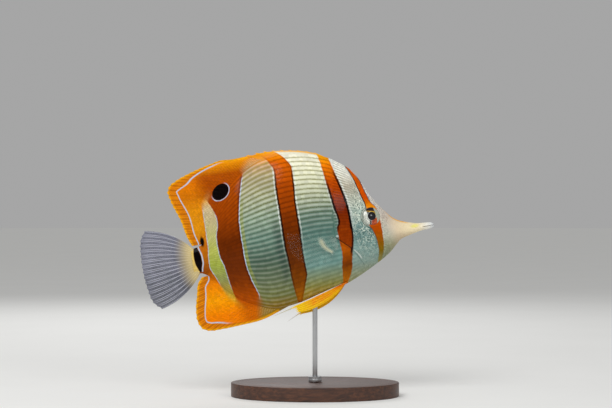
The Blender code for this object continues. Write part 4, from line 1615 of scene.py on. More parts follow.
# Besides the fish's own colours, the grounds hold painted light from above and painted shade below: each runs
# lighter towards the back and darker towards the belly.
GROUNDS: dict[str, Stops] = {
    "rear": ((-36, 252, 136, 4), (-30, 250, 134, 2), (-22, 255, 164, 4), (-14, 240, 134, 4),
        (-7, 150, 72, 8), (0, 184, 104, 12), (6, 192, 106, 14), (14, 224, 146, 18), (24, 228, 144, 14),
        (31, 212, 118, 6), (38, 238, 130, 2), (46, 252, 160, 4)),
    "patch_rear": ((-26, 250, 170, 4), (-20, 196, 160, 40), (-12, 148, 152, 84), (-4, 162, 174, 66),
        (4, 186, 190, 88), (16, 196, 184, 132), (24, 210, 186, 140), (28, 226, 170, 84)),
    "bar4_rear": ((-30, 214, 106, 0), (-24, 190, 84, 2), (-14, 126, 52, 2), (-6, 106, 42, 2),
        (6, 104, 40, 2), (20, 156, 64, 2), (32, 168, 72, 2), (40, 182, 84, 4), (46, 250, 160, 8)),
    "bar4_front": ((-30, 164, 128, 36), (-24, 124, 130, 76), (-16, 106, 120, 88), (-6, 78, 102, 84),
        (6, 102, 134, 118), (16, 140, 162, 138), (26, 164, 168, 134), (36, 166, 150, 102),
        (41, 190, 146, 86), (45, 244, 154, 24)),
    "bar3_rear": ((-27, 184, 108, 16), (-20, 140, 72, 2), (-10, 108, 48, 2), (0, 96, 40, 2),
        (12, 122, 48, 2), (30, 176, 72, 2), (42, 218, 100, 2), (47, 254, 160, 8)),
    "bar3_front": ((-28, 196, 152, 44), (-22, 150, 148, 76), (-12, 116, 156, 148), (4, 86, 122, 112),
        (14, 104, 130, 114), (24, 192, 198, 166), (34, 236, 236, 202), (46, 246, 242, 220)),
    "bar2_rear": ((-23, 206, 118, 6), (-14, 124, 56, 2), (-5, 196, 92, 2), (1.5, 180, 78, 2),
        (4, 140, 52, 2), (15, 120, 32, 0), (28, 194, 76, 2), (36, 240, 126, 6), (42, 255, 176, 14)),
    "bar2_front": ((-22, 160, 160, 112), (-14, 144, 168, 158), (-6, 130, 162, 156), (2, 104, 142, 140),
        (12, 180, 198, 186), (24, 190, 180, 160), (32, 248, 248, 236), (38, 250, 250, 242)),
    "bar1_rear": ((-15, 150, 148, 90), (-10, 138, 108, 14), (-6, 150, 94, 6), (1, 188, 78, 0),
        (5, 200, 84, 0), (12, 248, 148, 4), (17, 222, 84, 0), (30, 226, 100, 4)),
    "bar1_front": ((-16, 142, 148, 116), (-8, 148, 152, 118), (-2, 196, 196, 178), (6, 206, 192, 178),
        (12, 226, 214, 206), (20, 250, 244, 244), (30, 246, 240, 242)),
}
LINES = (
    EdgeLine("patch_rear", 0.0, 0.2, BLUE, ((-16, 0), (-12, 0.8), (22, 0.7), (27, 0))),
    EdgeLine("bar4_rear", 0.0, 0.2, BLUE, ((-20, 0), (-14, 0.6), (18, 0.8), (23, 0))),
    EdgeLine("bar4_front", -0.7, 0.5, srgb(74, 26, 4), ((-24, 0.1), (-8, 0.5), (36, 0.5), (40, 0))),
    EdgeLine("bar4_front", 0.0, 0.22, BLUE, ((-26, 0), (-20, 0.9), (34, 1), (39, 0))),
    EdgeLine("bar4_front", 1.1, 0.8, srgb(150, 156, 50), ((-24, 0), (-16, 0.4), (0, 0.6), (22, 0.5),
        (32, 0))),
    # A painted shade: a broad soft dark band on the pale ground just behind bar 3.
    EdgeLine("bar3_rear", -2.4, 1.6, srgb(40, 62, 54), ((-24, 0), (-12, 0.55), (4, 0.6),
        (16, 0.25), (28, 0)), soft=2.0),
    EdgeLine("bar3_rear", -0.5, 0.3, WHITE_LINE, ((-20, 0), (0, 0.2), (16, 0.8), (36, 0.8), (42, 0))),
    EdgeLine("bar3_rear", 0.35, 0.4, BLACK, ((-24, 0.2), (-10, 0.7), (28, 0.9), (40, 0.3))),
    EdgeLine("bar3_front", -0.35, 0.4, BLACK, ((-24, 0.2), (-10, 0.7), (28, 0.9), (38, 0.3))),
    EdgeLine("bar3_front", 0.5, 0.3, WHITE_LINE, ((-20, 0), (0, 0.2), (16, 0.7), (36, 0.7), (42, 0.2))),
    EdgeLine("bar2_rear", -0.4, 0.26, WHITE_LINE, ((0, 0), (10, 0.2), (26, 0.6)), top=0.2),
    EdgeLine("bar2_rear", 0.45, 0.5, BLACK, ((0, 0.1), (7, 0.9), (22, 0.95), (30, 0.2))),
    EdgeLine("bar2_front", -0.5, 0.55, BLACK, ((-12, 0), (-7, 0.95), (20, 1), (30, 0.8), (36, 0.1))),
    EdgeLine("bar2_front", 0.6, 0.4, WHITE_LINE, ((-2, 0), (8, 0.4), (24, 0.8), (40, 0.8))),
    EdgeLine("bar1_rear", 0.0, 0.26, BLACK, ((-8, 0.1), (-2, 0.4), (8, 0.5), (16, 0.95),
        (30, 0.8)), top=0.2),
    EdgeLine("bar1_rear", -0.5, 0.22, WHITE_LINE, ((0, 0), (12, 0.3), (20, 0.6), (30, 0.6))),
    EdgeLine("bar1_front", 0.0, 0.2, BLACK, ((-2, 0.1), (8, 0.2), (17, 0.8), (26, 0.9), (30, 0.2))),
)

# Where an edge blurs towards the back and towards the belly: from, to and by how much
BLURS = {
    "bar4_rear": ((27.0, 31.0, 5.5), (-27.0, -21.0, 4.0)),
    "patch_rear": ((20.0, 28.0, 1.5), (-25.0, -8.0, 1.6)),
    "bar4_front": ((37.0, 41.0, 3.0), (-26.0, -20.0, 2.6)),
}


@dataclass(frozen=True)
class FlankPaint:
    """The bars, the pale ground between them and the spots, alike on skin, scales and fins."""

    wobble: float = 0.7

    def place(self, axes: FishAxes, edge: str) -> Wire:
        """How far forward an edge lies at the shaded point's height.

        Args:
            axes: Where the shaded point lies.
            edge: The edge's name.

        Returns:
            The place in millimetres.
        """
        web, name = axes.u.web, "edge " + edge
        if name not in web.known:
            web.known[name] = web.curve(axes.v, EDGES[edge], LOWEST, HIGHEST, -80.0, 80.0)
        return web.known[name]

    def paint(self, axes: FishAxes) -> tuple[Wire, Wire]:
        """Paints the flank.

        Args:
            axes: Where the shaded point lies.

        Returns:
            The colour, and how much of it is bar rather than pale ground.
        """
        web, v = axes.u.web, axes.v
        u = axes.u + (web.noise(axes.place, 1.3) - 0.5) * self.wobble
        colour = web.ramp(v, GROUNDS["rear"], LOWEST, HIGHEST)
        barred: Wire | float = 1.0
        for name in list(GROUNDS)[1:]:
            soft: Wire | float = EDGE_SOFT
            if name in BLURS:
                (from_up, to_up, more_up), (from_low, to_low, more_low) = BLURS[name]
                soft = web.rise(v, from_up, to_up) * more_up + web.fall(v, from_low, to_low) * more_low + soft
            past = web.rise((u - self.place(axes, name)) / soft, -1.0, 1.0)
            colour = web.blend(colour, web.ramp(v, GROUNDS[name], LOWEST, HIGHEST), past)
            is_bar = 1.0 if name.endswith("rear") and name != "patch_rear" else 0.0
            barred = past * is_bar + (1 - past) * barred
        colour = web.layers(colour, self.squiggles(axes, barred))
        for line in LINES:
            near = web.streak(u - self.place(axes, line.edge) - line.offset, line.half, line.soft)
            knots = ((LOWEST, 0.0), *line.strength, (HIGHEST, line.top))
            colour = web.blend(colour, line.colour, near * web.curve(v, knots, LOWEST, HIGHEST, 0.0, 1.0))
        for marks in (self.eye_spot, self.crescent, self.stalk, self.gill_line, self.snout):
            colour = web.layers(colour, marks(axes))
        return colour, barred

    def squiggles(self, axes: FishAxes, barred: Wire) -> Layers:
        """The fine pale squiggles of the nape and the cheek, and the dark pits between them.

        Args:
            axes: Where the shaded point lies.
            barred: How much of its colour is bar.

        Returns:
            Colours and their shares.
        """
        web, u, v = axes.u.web, axes.u, axes.v
        wander = web.noise(axes.place, 0.95, 1.0)
        crest = web.streak(wander - 0.5, 0.02, 0.05) * web.rise(web.noise(axes.place, 2.2), 0.36, 0.6)
        away = ((u - 41.0) * (u - 41.0) * 1.6 + (v - 9.0) * (v - 9.0) * 0.5) ** 0.5
        strength = web.fall(away, 5.0, 16.0) * 0.62 + 0.16
        on_head = web.rise(u, 30.0, 35.0) * web.fall(u, 50.0, 56.0) * (1 - barred)
        pits = web.rise(abs(wander - 0.5), 0.06, 0.16)
        return (
            (srgb(74, 98, 88), pits * strength * on_head * 0.75),
            (srgb(240, 244, 226), web.least(crest * strength * 1.3, 1.0) * on_head),
        )

    def eye_spot(self, axes: FishAxes) -> Layers:
        """The black eye-spot with its blue ring.

        Args:
            axes: Where the shaded point lies.

        Returns:
            Colours and their shares.
        """
        web, tilt = axes.u.web, math.radians(38.0)
        du, dv = axes.u + 28.7, axes.v - 31.4
        long_way = (du * math.cos(tilt) + dv * math.sin(tilt)) * (1 / 4.7)
        short_way = (dv * math.cos(tilt) - du * math.sin(tilt)) * (1 / 3.5)
        radius = web.span(long_way, short_way) + (web.noise(axes.place, 1.6) - 0.5) * 0.1
        ring = web.streak(radius - 1.07, 0.05, 0.04) * web.rise(du * 0.8 - dv, -3.2, 0.5)
        return (BLUE, ring), (BLACK, web.fall(radius, 0.96, 1.04))

    def crescent(self, axes: FishAxes) -> Layers:
        """The silver crescent behind the eye between dark arcs.

        Args:
            axes: Where the shaded point lies.

        Returns:
            Colours and their shares.
        """
        web, du, dv = axes.u.web, axes.u - BODY.eye_at[0], axes.v - BODY.eye_at[1]
        radius = web.span(du, dv)
        behind = web.fall(du + abs(dv) * 0.55, -0.4, 1.2)
        patchy = web.rise(web.noise(axes.place, 1.1), 0.4, 0.65)
        silver = web.blend(srgb(212, 217, 204), srgb(150, 158, 146), patchy)
        silver = web.blend(silver, srgb(60, 72, 64), web.streak(radius - 4.72, 0.12, 0.1))
        rim = web.streak(radius - 5.42, 0.16, 0.16)
        return (
            (silver, web.fall(radius, 5.2, 5.55) * behind * 0.85),
            (srgb(48, 60, 52), rim * behind * 0.85),
        )

    def stalk(self, axes: FishAxes) -> Layers:
        """The blotch before the stalk, the tail's pale root and the stalk's bar.

        Args:
            axes: Where the shaded point lies.

        Returns:
            Colours and their shares.
        """
        web, u, v = axes.u.web, axes.u, axes.v
        front = ((-8, -44.4), (-5.2, -43.9), (-1.8, -43.1), (1.8, -43.3), (5.0, -44.3), (8, -45.2))
        rear = ((-8, -44.6), (-6, -45.2), (-2.3, -46.5), (1.8, -46.8), (5.3, -46.4), (8, -46.0))
        past_front, past_rear = (u - web.curve(v, knots, -10, 10, -50, -40) for knots in (front, rear))
        smudge = web.span((u + 41.6) * (1 / 1.2), (v - 8.2) * (1 / 2.8))
        on_stalk = web.between(v, -6.6, 6.4, 0.3)
        is_bar = web.rise(past_rear, -0.2, 0.2) * web.fall(past_front, -0.2, 0.2)
        return (
            (BLACK, web.fall(smudge, 0.55, 1.2)),
            (srgb(226, 196, 112), web.fall(past_rear, -0.3, 0.3) * on_stalk),
            (BLUE, web.streak(past_front - 0.5, 0.32, 0.16) * on_stalk),
            (BLACK, is_bar * on_stalk),
        )

    def gill_line(self, axes: FishAxes) -> Layers:
        """The gill cover's edge, with a painted shadow along its upper part and a pale rim below, and a
        painted highlight behind it.

        Args:
            axes: Where the shaded point lies.

        Returns:
            Colours and their shares.
        """
        web, u, v = axes.u.web, axes.u, axes.v
        gill = ((-14, 36.4), (-11.1, 35.2), (-7.1, 32.3), (-3.5, 28.6), (-0.5, 25.6), (3, 24.0))
        away = u - web.curve(v, gill, -20, 20, 20, 40)
        in_bar = web.rise(u - self.place(axes, "bar2_rear"), 0.0, 0.4)
        in_bar = in_bar * web.fall(u - self.place(axes, "bar2_front"), -0.9, -0.5)
        ahead = web.rise(away, -0.2, 0.4) * web.between(v, -9.0, 3.0, 0.6)
        # A painted shadow under the flap's free edge, along the upper part of the gill line.
        dark = web.streak(away + 0.2, 0.36, 0.3) * web.between(v, -7.2, 0.2, 0.5)
        pale = web.streak(away - 0.1, 0.3, 0.25) * web.between(v, -12.0, -7.2, 0.6)
        # A small painted highlight near the top of the gill opening.
        painted_highlight = web.fall(web.span(u - 25.3, v - 0.6), 0.3, 0.9)
        return (
            (srgb(134, 46, 2), in_bar * ahead * 0.85), (srgb(48, 18, 8), dark * 0.92),
            (WHITE_LINE, pale * 0.85), (srgb(238, 240, 236), painted_highlight * 0.55),
        )

    def snout(self, axes: FishAxes) -> Layers:
        """The cream snout with its orange ridge and yellow patch.

        Args:
            axes: Where the shaded point lies.

        Returns:
            Colours and their shares.
        """
        web, u, v = axes.u.web, axes.u, axes.v
        cream = web.ramp(u, (
            (48, 216, 200, 184), (55, 228, 208, 176), (61, 242, 224, 184), (66, 246, 230, 190),
            (70, 240, 236, 222), (74, 226, 232, 236),
        ), 40, 80)
        under = (v + 2.6 + (u - 66) * 0.16) * -1.0
        knots = ((50, 10.1), (52, 7.6), (53.5, 5.8), (55, 4.5), (57, 3.3), (59, 2.45), (62, 1.45))
        ridge = web.rise(v - web.curve(u, knots, 50, 62, 0, 12), -0.8, -0.2) * web.fall(abs(axes.w), 0.7, 2.0)
        yellow = web.span((u - 64.4) * (1 / 2.6), (v + 0.5) * (1 / 1.1))
        return (
            (cream, web.rise(u + web.least(v, 0.0) * 0.5, 48.6, 55.6)),
            (srgb(196, 176, 146), web.rise(under, 0.0, 4.0) * web.rise(u, 48.0, 58.0) * 0.6),
            (srgb(248, 170, 8), ridge * web.between(u, 52.0, 60.6, 2.2) * 0.92),
            (srgb(240, 232, 120), web.fall(yellow, 0.3, 1.2) * 0.8),
        )


FLANK = FlankPaint()


@dataclass(frozen=True)
class SkinFinish:
    """Wet skin: the flank's colours, fine grain and a clear slimy coat."""

    name: str = "wet skin"

    def material(self) -> Material:
        """Builds the material.

        Returns:
            The material.
        """
        web = Web(self.name)
        axes = FishAxes.of(web)
        colour, _ = FLANK.paint(axes)
        fine = web.noise(axes.place, 0.55, 3.0, 0.6)
        colour = web.blend(colour, web.blend(colour, srgb(96, 92, 70), 0.5), web.rise(fine, 0.5, 0.75) * 0.4)
        mouth = web.curve(axes.u, ((66, -1.52), (69, -1.56), (72, -1.5), (74, -1.4)), 66, 75, -3, 0)
        gape = web.streak(axes.v - mouth, 0.1, 0.12) * web.rise(axes.u, 68.0, 69.4)
        colour = web.blend(colour, srgb(110, 84, 66), gape * 0.8)
        grain = web.noise(axes.place, 0.3, 3.0, 0.6)
        cells = web.node("TexVoronoi", {"feature": "SMOOTH_F1"}, {"Vector": axes.place, "Scale": 1.6})
        return web.surface(colour, 0.34 + fine * 0.16, web.bump(grain * 0.6 + cells * 0.6, 0.06),
                           0.09, 0.12, 0.0)


@dataclass(frozen=True)
class ScaleFinish:
    """Scales: the flank's colours, a paler middle that is partly silvery and partly painted highlight, darker
    sides that line the rows, and fine rings.
    """

    name: str = "scales"
    row_dark: float = 0.95

    def material(self) -> Material:
        """Builds the material.

        Returns:
            The material.
        """
        web = Web(self.name)
        axes = FishAxes.of(web)
        colour, barred = FLANK.paint(axes)
        u, v, shade = axes.u, axes.v, web.mark("shade")
        along, across = web.parts(web.node("UVMap", {"uv_map": "ScaleShape"}))[:2]
        across = abs((across - 0.5) * 2)
        side = web.rise(across + (web.noise(axes.place, 1.7) - 0.5) * 0.4, 0.36, 0.78)
        olive = web.ramp(v, (
            (-26, 92, 84, 30), (-14, 44, 64, 62), (2, 40, 60, 56), (16, 78, 86, 48), (30, 122, 120, 62),
            (44, 160, 150, 92),
        ), LOWEST, HIGHEST)
        line = web.blend(olive, srgb(48, 12, 0), barred)
        knots = ((-40, 0.4), (-20, 0.38), (-6, 0.42), (10, 0.64), (24, 0.95), (50, 0.8))
        deep = web.curve(v, knots, LOWEST, HIGHEST, 0, 1)
        deep = deep * (1 - web.rise(u, 31.0, 36.0) * 0.75) * (0.35 + web.rise(u, -34.0, -16.0) * 0.65)
        front_low = web.rise(u, 2.0, 14.0) * web.fall(v, 0.0, 14.0)
        deep = deep * (1 - barred * 0.5) * (1 - front_low * 0.5)
        dotted = 0.62 + web.between(along, 0.5, 0.92, 0.14) * 0.38
        much = side * dotted * (0.7 + shade * 0.3) * deep
        colour = web.blend(colour, line, much * self.row_dark)
        # The paler middle of each scale is partly the scales' silvery colour and partly a painted highlight
        # along the ridge, stronger higher up.
        pale = web.fall(across, 0.0, 0.5)
        light = web.blend(colour, srgb(255, 255, 244), 0.5)
        colour = web.blend(colour, light, pale * (1 - barred) * deep * 0.55)
        # Each scale's tone varies at random; on the bars the middle is also brightened as a painted
        # highlight.
        value = shade * 0.22 + pale * barred * deep * 0.22 + 0.86
        tone = web.node("HueSaturation", sockets={
            "Hue": 0.5, "Saturation": 1.0, "Value": value, "Fac": 1.0, "Color": colour,
        })
        grain = web.noise(axes.place, 0.25, 2.0)
        relief = web.waves(along * 46.0) * 0.3 + web.waves(across * 26.0) * 0.15 + grain * 0.6
        return web.surface(tone, 0.3 + grain * 0.16, web.bump(relief, 0.025), 0.09, 0.12, 0.0)


@dataclass(frozen=True)
class FinFinish:
    """The orange fins: the flank's colours run out over them, with a pale blue line, rim and rays."""

    name: str = "orange fin"

    def material(self) -> Material:
        """Builds the material.

        Returns:
            The material.
        """
        web = Web(self.name)
        axes = FishAxes.of(web)
        colour, _ = FLANK.paint(axes)
        ray, rim, blue = web.mark("ray"), web.mark("rim"), web.mark("blue")
        outside = web.fall(blue, -0.5, 0.1)
        orange = web.blend(srgb(244, 148, 14), srgb(214, 112, 10), web.noise(axes.place, 2.5))
        colour = web.blend(colour, orange, outside * 0.9)
        colour = web.blend(colour, srgb(255, 180, 18), web.fall(rim, 0.5, 1.5) * 0.9)
        furrow = web.fall(ray, 0.25, 0.8)
        colour = web.blend(colour, web.blend(colour, srgb(90, 34, 2), 0.6), furrow * outside * 0.5)
        colour = web.blend(colour, web.blend(colour, srgb(60, 26, 4), 0.5), furrow * 0.16)
        above = web.rise(axes.v, -5.0, 5.0)
        fade = web.fall(axes.u - above * 8.0, -40.0, -32.0)
        colour = web.blend(colour, BLUE, web.streak(blue, 0.24, 0.14) * fade)
        grain = web.noise(axes.place, 0.3, 2.0)
        relief = web.waves(web.mark("along") * 150.0) * ray * 0.5 + grain * 0.5
        return web.surface(colour, 0.36 + grain * 0.14, web.bump(relief, 0.04), 0.1, 0.15, 0.0)


@dataclass(frozen=True)
class TailFinish:
    """The tail: a see-through lavender grey membrane with pale rays, yellowish at its root."""

    name: str = "tail membrane"

    def material(self) -> Material:
        """Builds the material.

        Returns:
            The material.
        """
        web = Web(self.name)
        axes = FishAxes.of(web)
        ray, along = web.mark("ray"), web.mark("along")
        shade = web.rise(web.noise(axes.place, 7.0) - axes.v * 0.02, 0.3, 0.9)
        membrane = web.blend(srgb(112, 114, 134), srgb(70, 74, 92), shade)
        membrane = web.blend(srgb(206, 186, 132), membrane, web.rise(along, 0.06, 0.42))
        rays = web.blend(srgb(232, 214, 170), srgb(206, 206, 216), web.rise(along, 0.1, 0.4))
        rays = web.blend(rays, membrane, web.rise(along, 0.66, 1.0) * 0.6)
        colour = web.blend(membrane, rays, web.rise(ray, 0.45, 0.95) * 0.85)
        grain = web.noise(axes.place, 0.3, 2.0)
        relief = web.waves(along * 190.0) * ray * 0.5 + grain * 0.3
        clear = web.rise(along, 0.1, 0.5) * (1 - 0.5 * ray)
        return web.surface(colour, 0.3 + grain * 0.12, web.bump(relief, 0.04), 0.1, 0.2, 0.25,
                           Alpha=1.0 - clear * 0.42)


@dataclass(frozen=True)
class ClearFinish:
    """The pectoral fins: nearly clear, with pale rays and a painted highlight arc near the root."""

    name: str = "clear membrane"

    def material(self) -> Material:
        """Builds the material.

        Returns:
            The material.
        """
        web = Web(self.name)
        axes = FishAxes.of(web)
        ray, along = web.mark("ray"), web.mark("along")
        colour = web.blend(srgb(190, 204, 196), srgb(224, 222, 202), web.rise(ray, 0.2, 0.8))
        # A painted highlight: a pale arc across the fin near its root, which is also made less clear.
        arc = web.between(along, 0.24, 0.34, 0.05) * web.fall(abs(web.mark("across") - 0.5), 0.3, 0.5)
        colour = web.blend(colour, srgb(226, 224, 190), arc)
        rays = web.rise(ray, 0.5, 0.95) * (0.12 - along * 0.06) * (1 - web.rise(along, 0.35, 0.85) * 0.85)
        solid = rays + web.fall(along, 0.0, 0.16) * 0.1 + 0.006 + arc * 0.4
        grain = web.noise(axes.place, 0.3, 2.0)
        return web.surface(colour, 0.22 + grain * 0.12, web.bump(grain, 0.02), 0.04, 0.15, 0.1,
                           Alpha=web.least(solid, 1.0))


@dataclass(frozen=True)
class YellowFinish:
    """The pelvic fins: deep yellow with a white spine and a white thread."""

    name: str = "yellow fin"

    def material(self) -> Material:
        """Builds the material.

        Returns:
            The material.
        """
        web = Web(self.name)
        axes = FishAxes.of(web)
        ray, along, on_thread = web.mark("ray"), web.mark("along"), web.rise(web.mark("past"), 1.5, 4.5)
        patchy = web.rise(web.noise(axes.place, 1.6), 0.35, 0.65)
        bright = web.most(web.rise(web.mark("across"), 0.45, 0.9), web.rise(along, 0.55, 0.95))
        colour = web.layers(web.blend(srgb(255, 152, 0), srgb(255, 190, 4), patchy), (
            (srgb(255, 220, 6), bright * 0.85),
            (srgb(206, 104, 2), web.fall(ray, 0.1, 0.6) * 0.5),
            (srgb(222, 116, 4), web.fall(along, 0.0, 0.25)),
            (web.blend(srgb(236, 232, 224), srgb(206, 200, 176), on_thread),
             web.most(web.rise(web.mark("spine"), 0.3, 0.7), on_thread)),
        ))
        grain = web.noise(axes.place, 0.3, 2.0)
        normal = web.bump(grain * 0.5 + ray * 0.3, 0.04)
        return web.surface(colour, 0.36 + grain * 0.14, normal, 0.05, 0.15, 0.12)


@dataclass(frozen=True)
class EyeFinish:
    """The eye: a black pupil in a silver iris that the head's bar crosses in orange and black."""

    name: str = "eye"

    def material(self) -> Material:
        """Builds the material.

        Returns:
            The material.
        """
        web = Web(self.name)
        axes = FishAxes.of(web)
        outer = web.span(web.mark("ahead"), web.mark("above"))
        ahead, above = web.mark("ahead") + 0.55, web.mark("above") + 0.15
        radius = web.span(ahead, above)
        patchy = web.noise(axes.place, 0.7, 4.0, 0.65)
        silver = web.blend(srgb(236, 238, 226), srgb(140, 152, 140), web.rise(patchy, 0.4, 0.8))
        silver = web.blend(silver, srgb(176, 186, 158), web.rise(ahead, 0.5, 2.5) * 0.6)
        circles = web.waves((radius + (web.noise(axes.place, 1.8) - 0.5) * 0.5) * 8.0)
        blotch = (web.noise(axes.place, 0.8, 3.0) - 0.5) * 0.9
        column = web.between(ahead + above * 0.14 + blotch, -1.7, 2.4, 0.16)
        upper = column * web.rise(above + blotch * 0.4, 0.8, 1.1)
        lower = column * web.fall(above, -1.2, -0.8)
        stripe = web.streak(above + ahead * 0.16 - 2.5 + blotch * 0.5, 0.13, 0.14)
        arc = web.streak(radius - 2.35, 0.12, 0.1) * web.rise(above + ahead * 0.6, 0.9, 1.8)
        ring = web.streak(radius - 2.24, 0.08, 0.06) * web.fall(ahead, -1.0, 0.4)
        colour = web.layers(silver, (
            (srgb(66, 76, 68), web.rise(circles, 0.55, 1.0) * 0.6),
            (srgb(22, 12, 26), upper),
            (srgb(238, 176, 24), upper * stripe * 0.9),
            (srgb(228, 190, 40), arc * column),
            (web.blend(srgb(208, 88, 2), srgb(158, 48, 2), web.rise(patchy, 0.4, 0.65)),
             lower * web.rise(ahead + blotch, -0.8, 0.0)),
            (srgb(20, 8, 6), lower * web.fall(ahead + blotch, -0.8, 0.0)),
            (srgb(206, 212, 210), ring * 0.8),
            (srgb(34, 34, 34), web.rise(outer, 4.2, 4.42)),
            ((0.002, 0.002, 0.004, 1.0), web.fall(radius, 2.04, 2.16)),
        ))
        return web.surface(colour, 0.3, None, 0.7, 0.03, 0.15)


@dataclass(frozen=True)
class WoodFinish:
    """Dark oiled wood with long grain along the base."""

    name: str = "dark oiled wood"

    def material(self) -> Material:
        """Builds the material.

        Returns:
            The material.
        """
        web = Web(self.name)
        grain = web.drawn_out((90.0, 900.0, 900.0), Detail=5.0, Roughness=0.62, Distortion=0.7)
        dark = web.rise(web.drawn_out((260.0, 5200.0, 5200.0), Detail=2.0), 0.58, 0.7)
        colour = web.ramp(grain, ((0.3, 44, 24, 15), (0.5, 74, 42, 26), (0.68, 104, 62, 38)), 0.0, 1.0)
        colour = web.blend(colour, srgb(24, 13, 8), dark * 0.7)
        normal = web.bump(grain * 0.4 + (1 - dark) * 0.5, 0.06)
        return web.surface(colour, 0.36 + grain * 0.22, normal, 0.15, 0.25)


@dataclass(frozen=True)
class SteelFinish:
    """Brushed steel with fine marks round or along the bar."""

    name: str = "brushed steel"

    def material(self) -> Material:
        """Builds the material.

        Returns:
            The material.
        """
        web = Web(self.name)
        brushed = web.drawn_out((9000.0, 9000.0, 160.0), Detail=3.0)
        colour = web.blend(srgb(176, 178, 180), srgb(206, 207, 208), brushed)
        return web.surface(colour, 0.24 + brushed * 0.2, web.bump(brushed, 0.012), Metallic=1.0)


@dataclass(frozen=True)
class FloorFinish:
    """A plain, pale, matt floor."""

    name: str = "pale floor"
    glow: float = 0.08

    def material(self) -> Material:
        """Builds the material.

        Returns:
            The material.
        """
        web = Web(self.name)
        place = web.node("TexCoord", out="Object")
        soft = web.node("TexNoise", sockets={"Vector": place, "Scale": 14.0, "Detail": 2.0})
        colour = web.blend(srgb(232, 232, 230), srgb(237, 237, 235), soft)
        return web.surface(colour, 0.9, specular=0.0, Emission_Color=srgb(255, 255, 252),
                           Emission_Strength=self.glow)


@dataclass(frozen=True)
class Stand:
    """An oval wooden base, a steel rod up into the belly and a collar at its foot."""

    length: float = 84.0
    width: float = 56.0
    thick: float = 7.0
    edge: float = 1.5
    rod_at: float = 14.0
    rod_radius: float = 1.25
    rod_foot: float = 2.5
    rod_top: float = 59.0
    collar_radius: float = 3.4
    collar_height: float = 2.6
    gap: float = 0.3

    def cylinder(self, name: str, corners: int, radius: float, low: float, high: float) -> Object:
        """Adds an upright cylinder where the rod stands.

        Args:
            name: The piece's name.
            corners: Its corners.
            radius: Its radius.
            low: Its foot's height.
            high: Its top's height.

        Returns:
            The piece.
        """
        deselect()
        at = (self.rod_at * MM, 0, (low + high) / 2 * MM)
        bpy.ops.mesh.primitive_cylinder_add(
            vertices=corners, radius=radius * MM, depth=(high - low) * MM, location=at
        )
        piece = bpy.context.active_object
        piece.name = piece.data.name = name
        return piece

    @staticmethod
    def select_top(piece: Object, least: float) -> None:
        """Selects the faces that look up.

        Args:
            piece: The piece, which is the active one.
            least: How far up a face has to look, where 1 is straight up.
        """
        with editing():
            bpy.ops.mesh.select_mode(type="FACE")
            bpy.ops.mesh.select_all(action="DESELECT")
        for face in piece.data.polygons:
            face.select = face.normal.z > least

    @staticmethod
    def round_edges(piece: Object, width: float, segments: int) -> Object:
        """Rounds a piece's sharp edges and smooths it.

        Args:
            piece: The piece.
            width: The rounding's width.
            segments: Its steps.

        Returns:
            The piece.
        """
        rounded = piece.modifiers.new("rounded edge", "BEVEL")
        rounded.width = width * MM
        rounded.segments = segments
        rounded.limit_method = "ANGLE"
        rounded.angle_limit = math.radians(60)
        bpy.ops.object.modifier_apply(modifier=rounded.name)
        bpy.ops.object.shade_smooth_by_angle(angle=STAND_CREASE)
        return piece

    def build_base(self) -> Object:
        """Models the base: an oval slab with a rounded edge and a stepped top.

        Returns:
            The base.
        """
        base = self.cylinder("oval_base", 144, 0.5 / MM, 0.0, self.thick)
        base.scale = (self.length * MM, self.width * MM, 1.0)
        bpy.ops.object.transform_apply(location=True, rotation=True, scale=True)
        self.select_top(base, 0.9)
        with editing():
            for wide, deep in ((2.6, 0.0), (0.35, -0.3), (0.35, 0.3)):
                bpy.ops.mesh.inset(thickness=wide * MM, depth=deep * MM)
        return self.round_edges(base, self.edge, 6)

    def build_bar(self, name: str, radius: float, low: float, high: float, edge: float) -> Object:
        """Models an upright round bar with broken edges.

        Args:
            name: The piece's name.
            radius: Its radius.
            low: Its foot's height.
            high: Its top's height.
            edge: The rounding of its edges.

        Returns:
            The bar.
        """
        bar = self.cylinder(name, 64, radius, low, high)
        bpy.ops.object.transform_apply(location=True, rotation=True, scale=True)
        return self.round_edges(bar, edge, 4)

    def build_collar(self) -> Object:
        """Models the collar: a low turned ring with a step and a groove.

        Returns:
            The collar.
        """
        foot = self.thick + self.gap
        collar = self.build_bar(
            "foot_collar", self.collar_radius, foot, foot + self.collar_height * 0.6, 0.25
        )
        self.select_top(collar, 0.98)
        with editing():
            for wide, rise in ((0.3, -0.25), (0.35, self.collar_height * 0.4 + 0.1)):
                bpy.ops.mesh.inset(thickness=wide * MM)
                bpy.ops.mesh.extrude_region_move(TRANSFORM_OT_translate={"value": (0, 0, rise * MM)})
            bpy.ops.mesh.inset(thickness=0.25 * MM, depth=0.15 * MM)
        bpy.ops.object.shade_smooth_by_angle(angle=STAND_CREASE)
        return collar


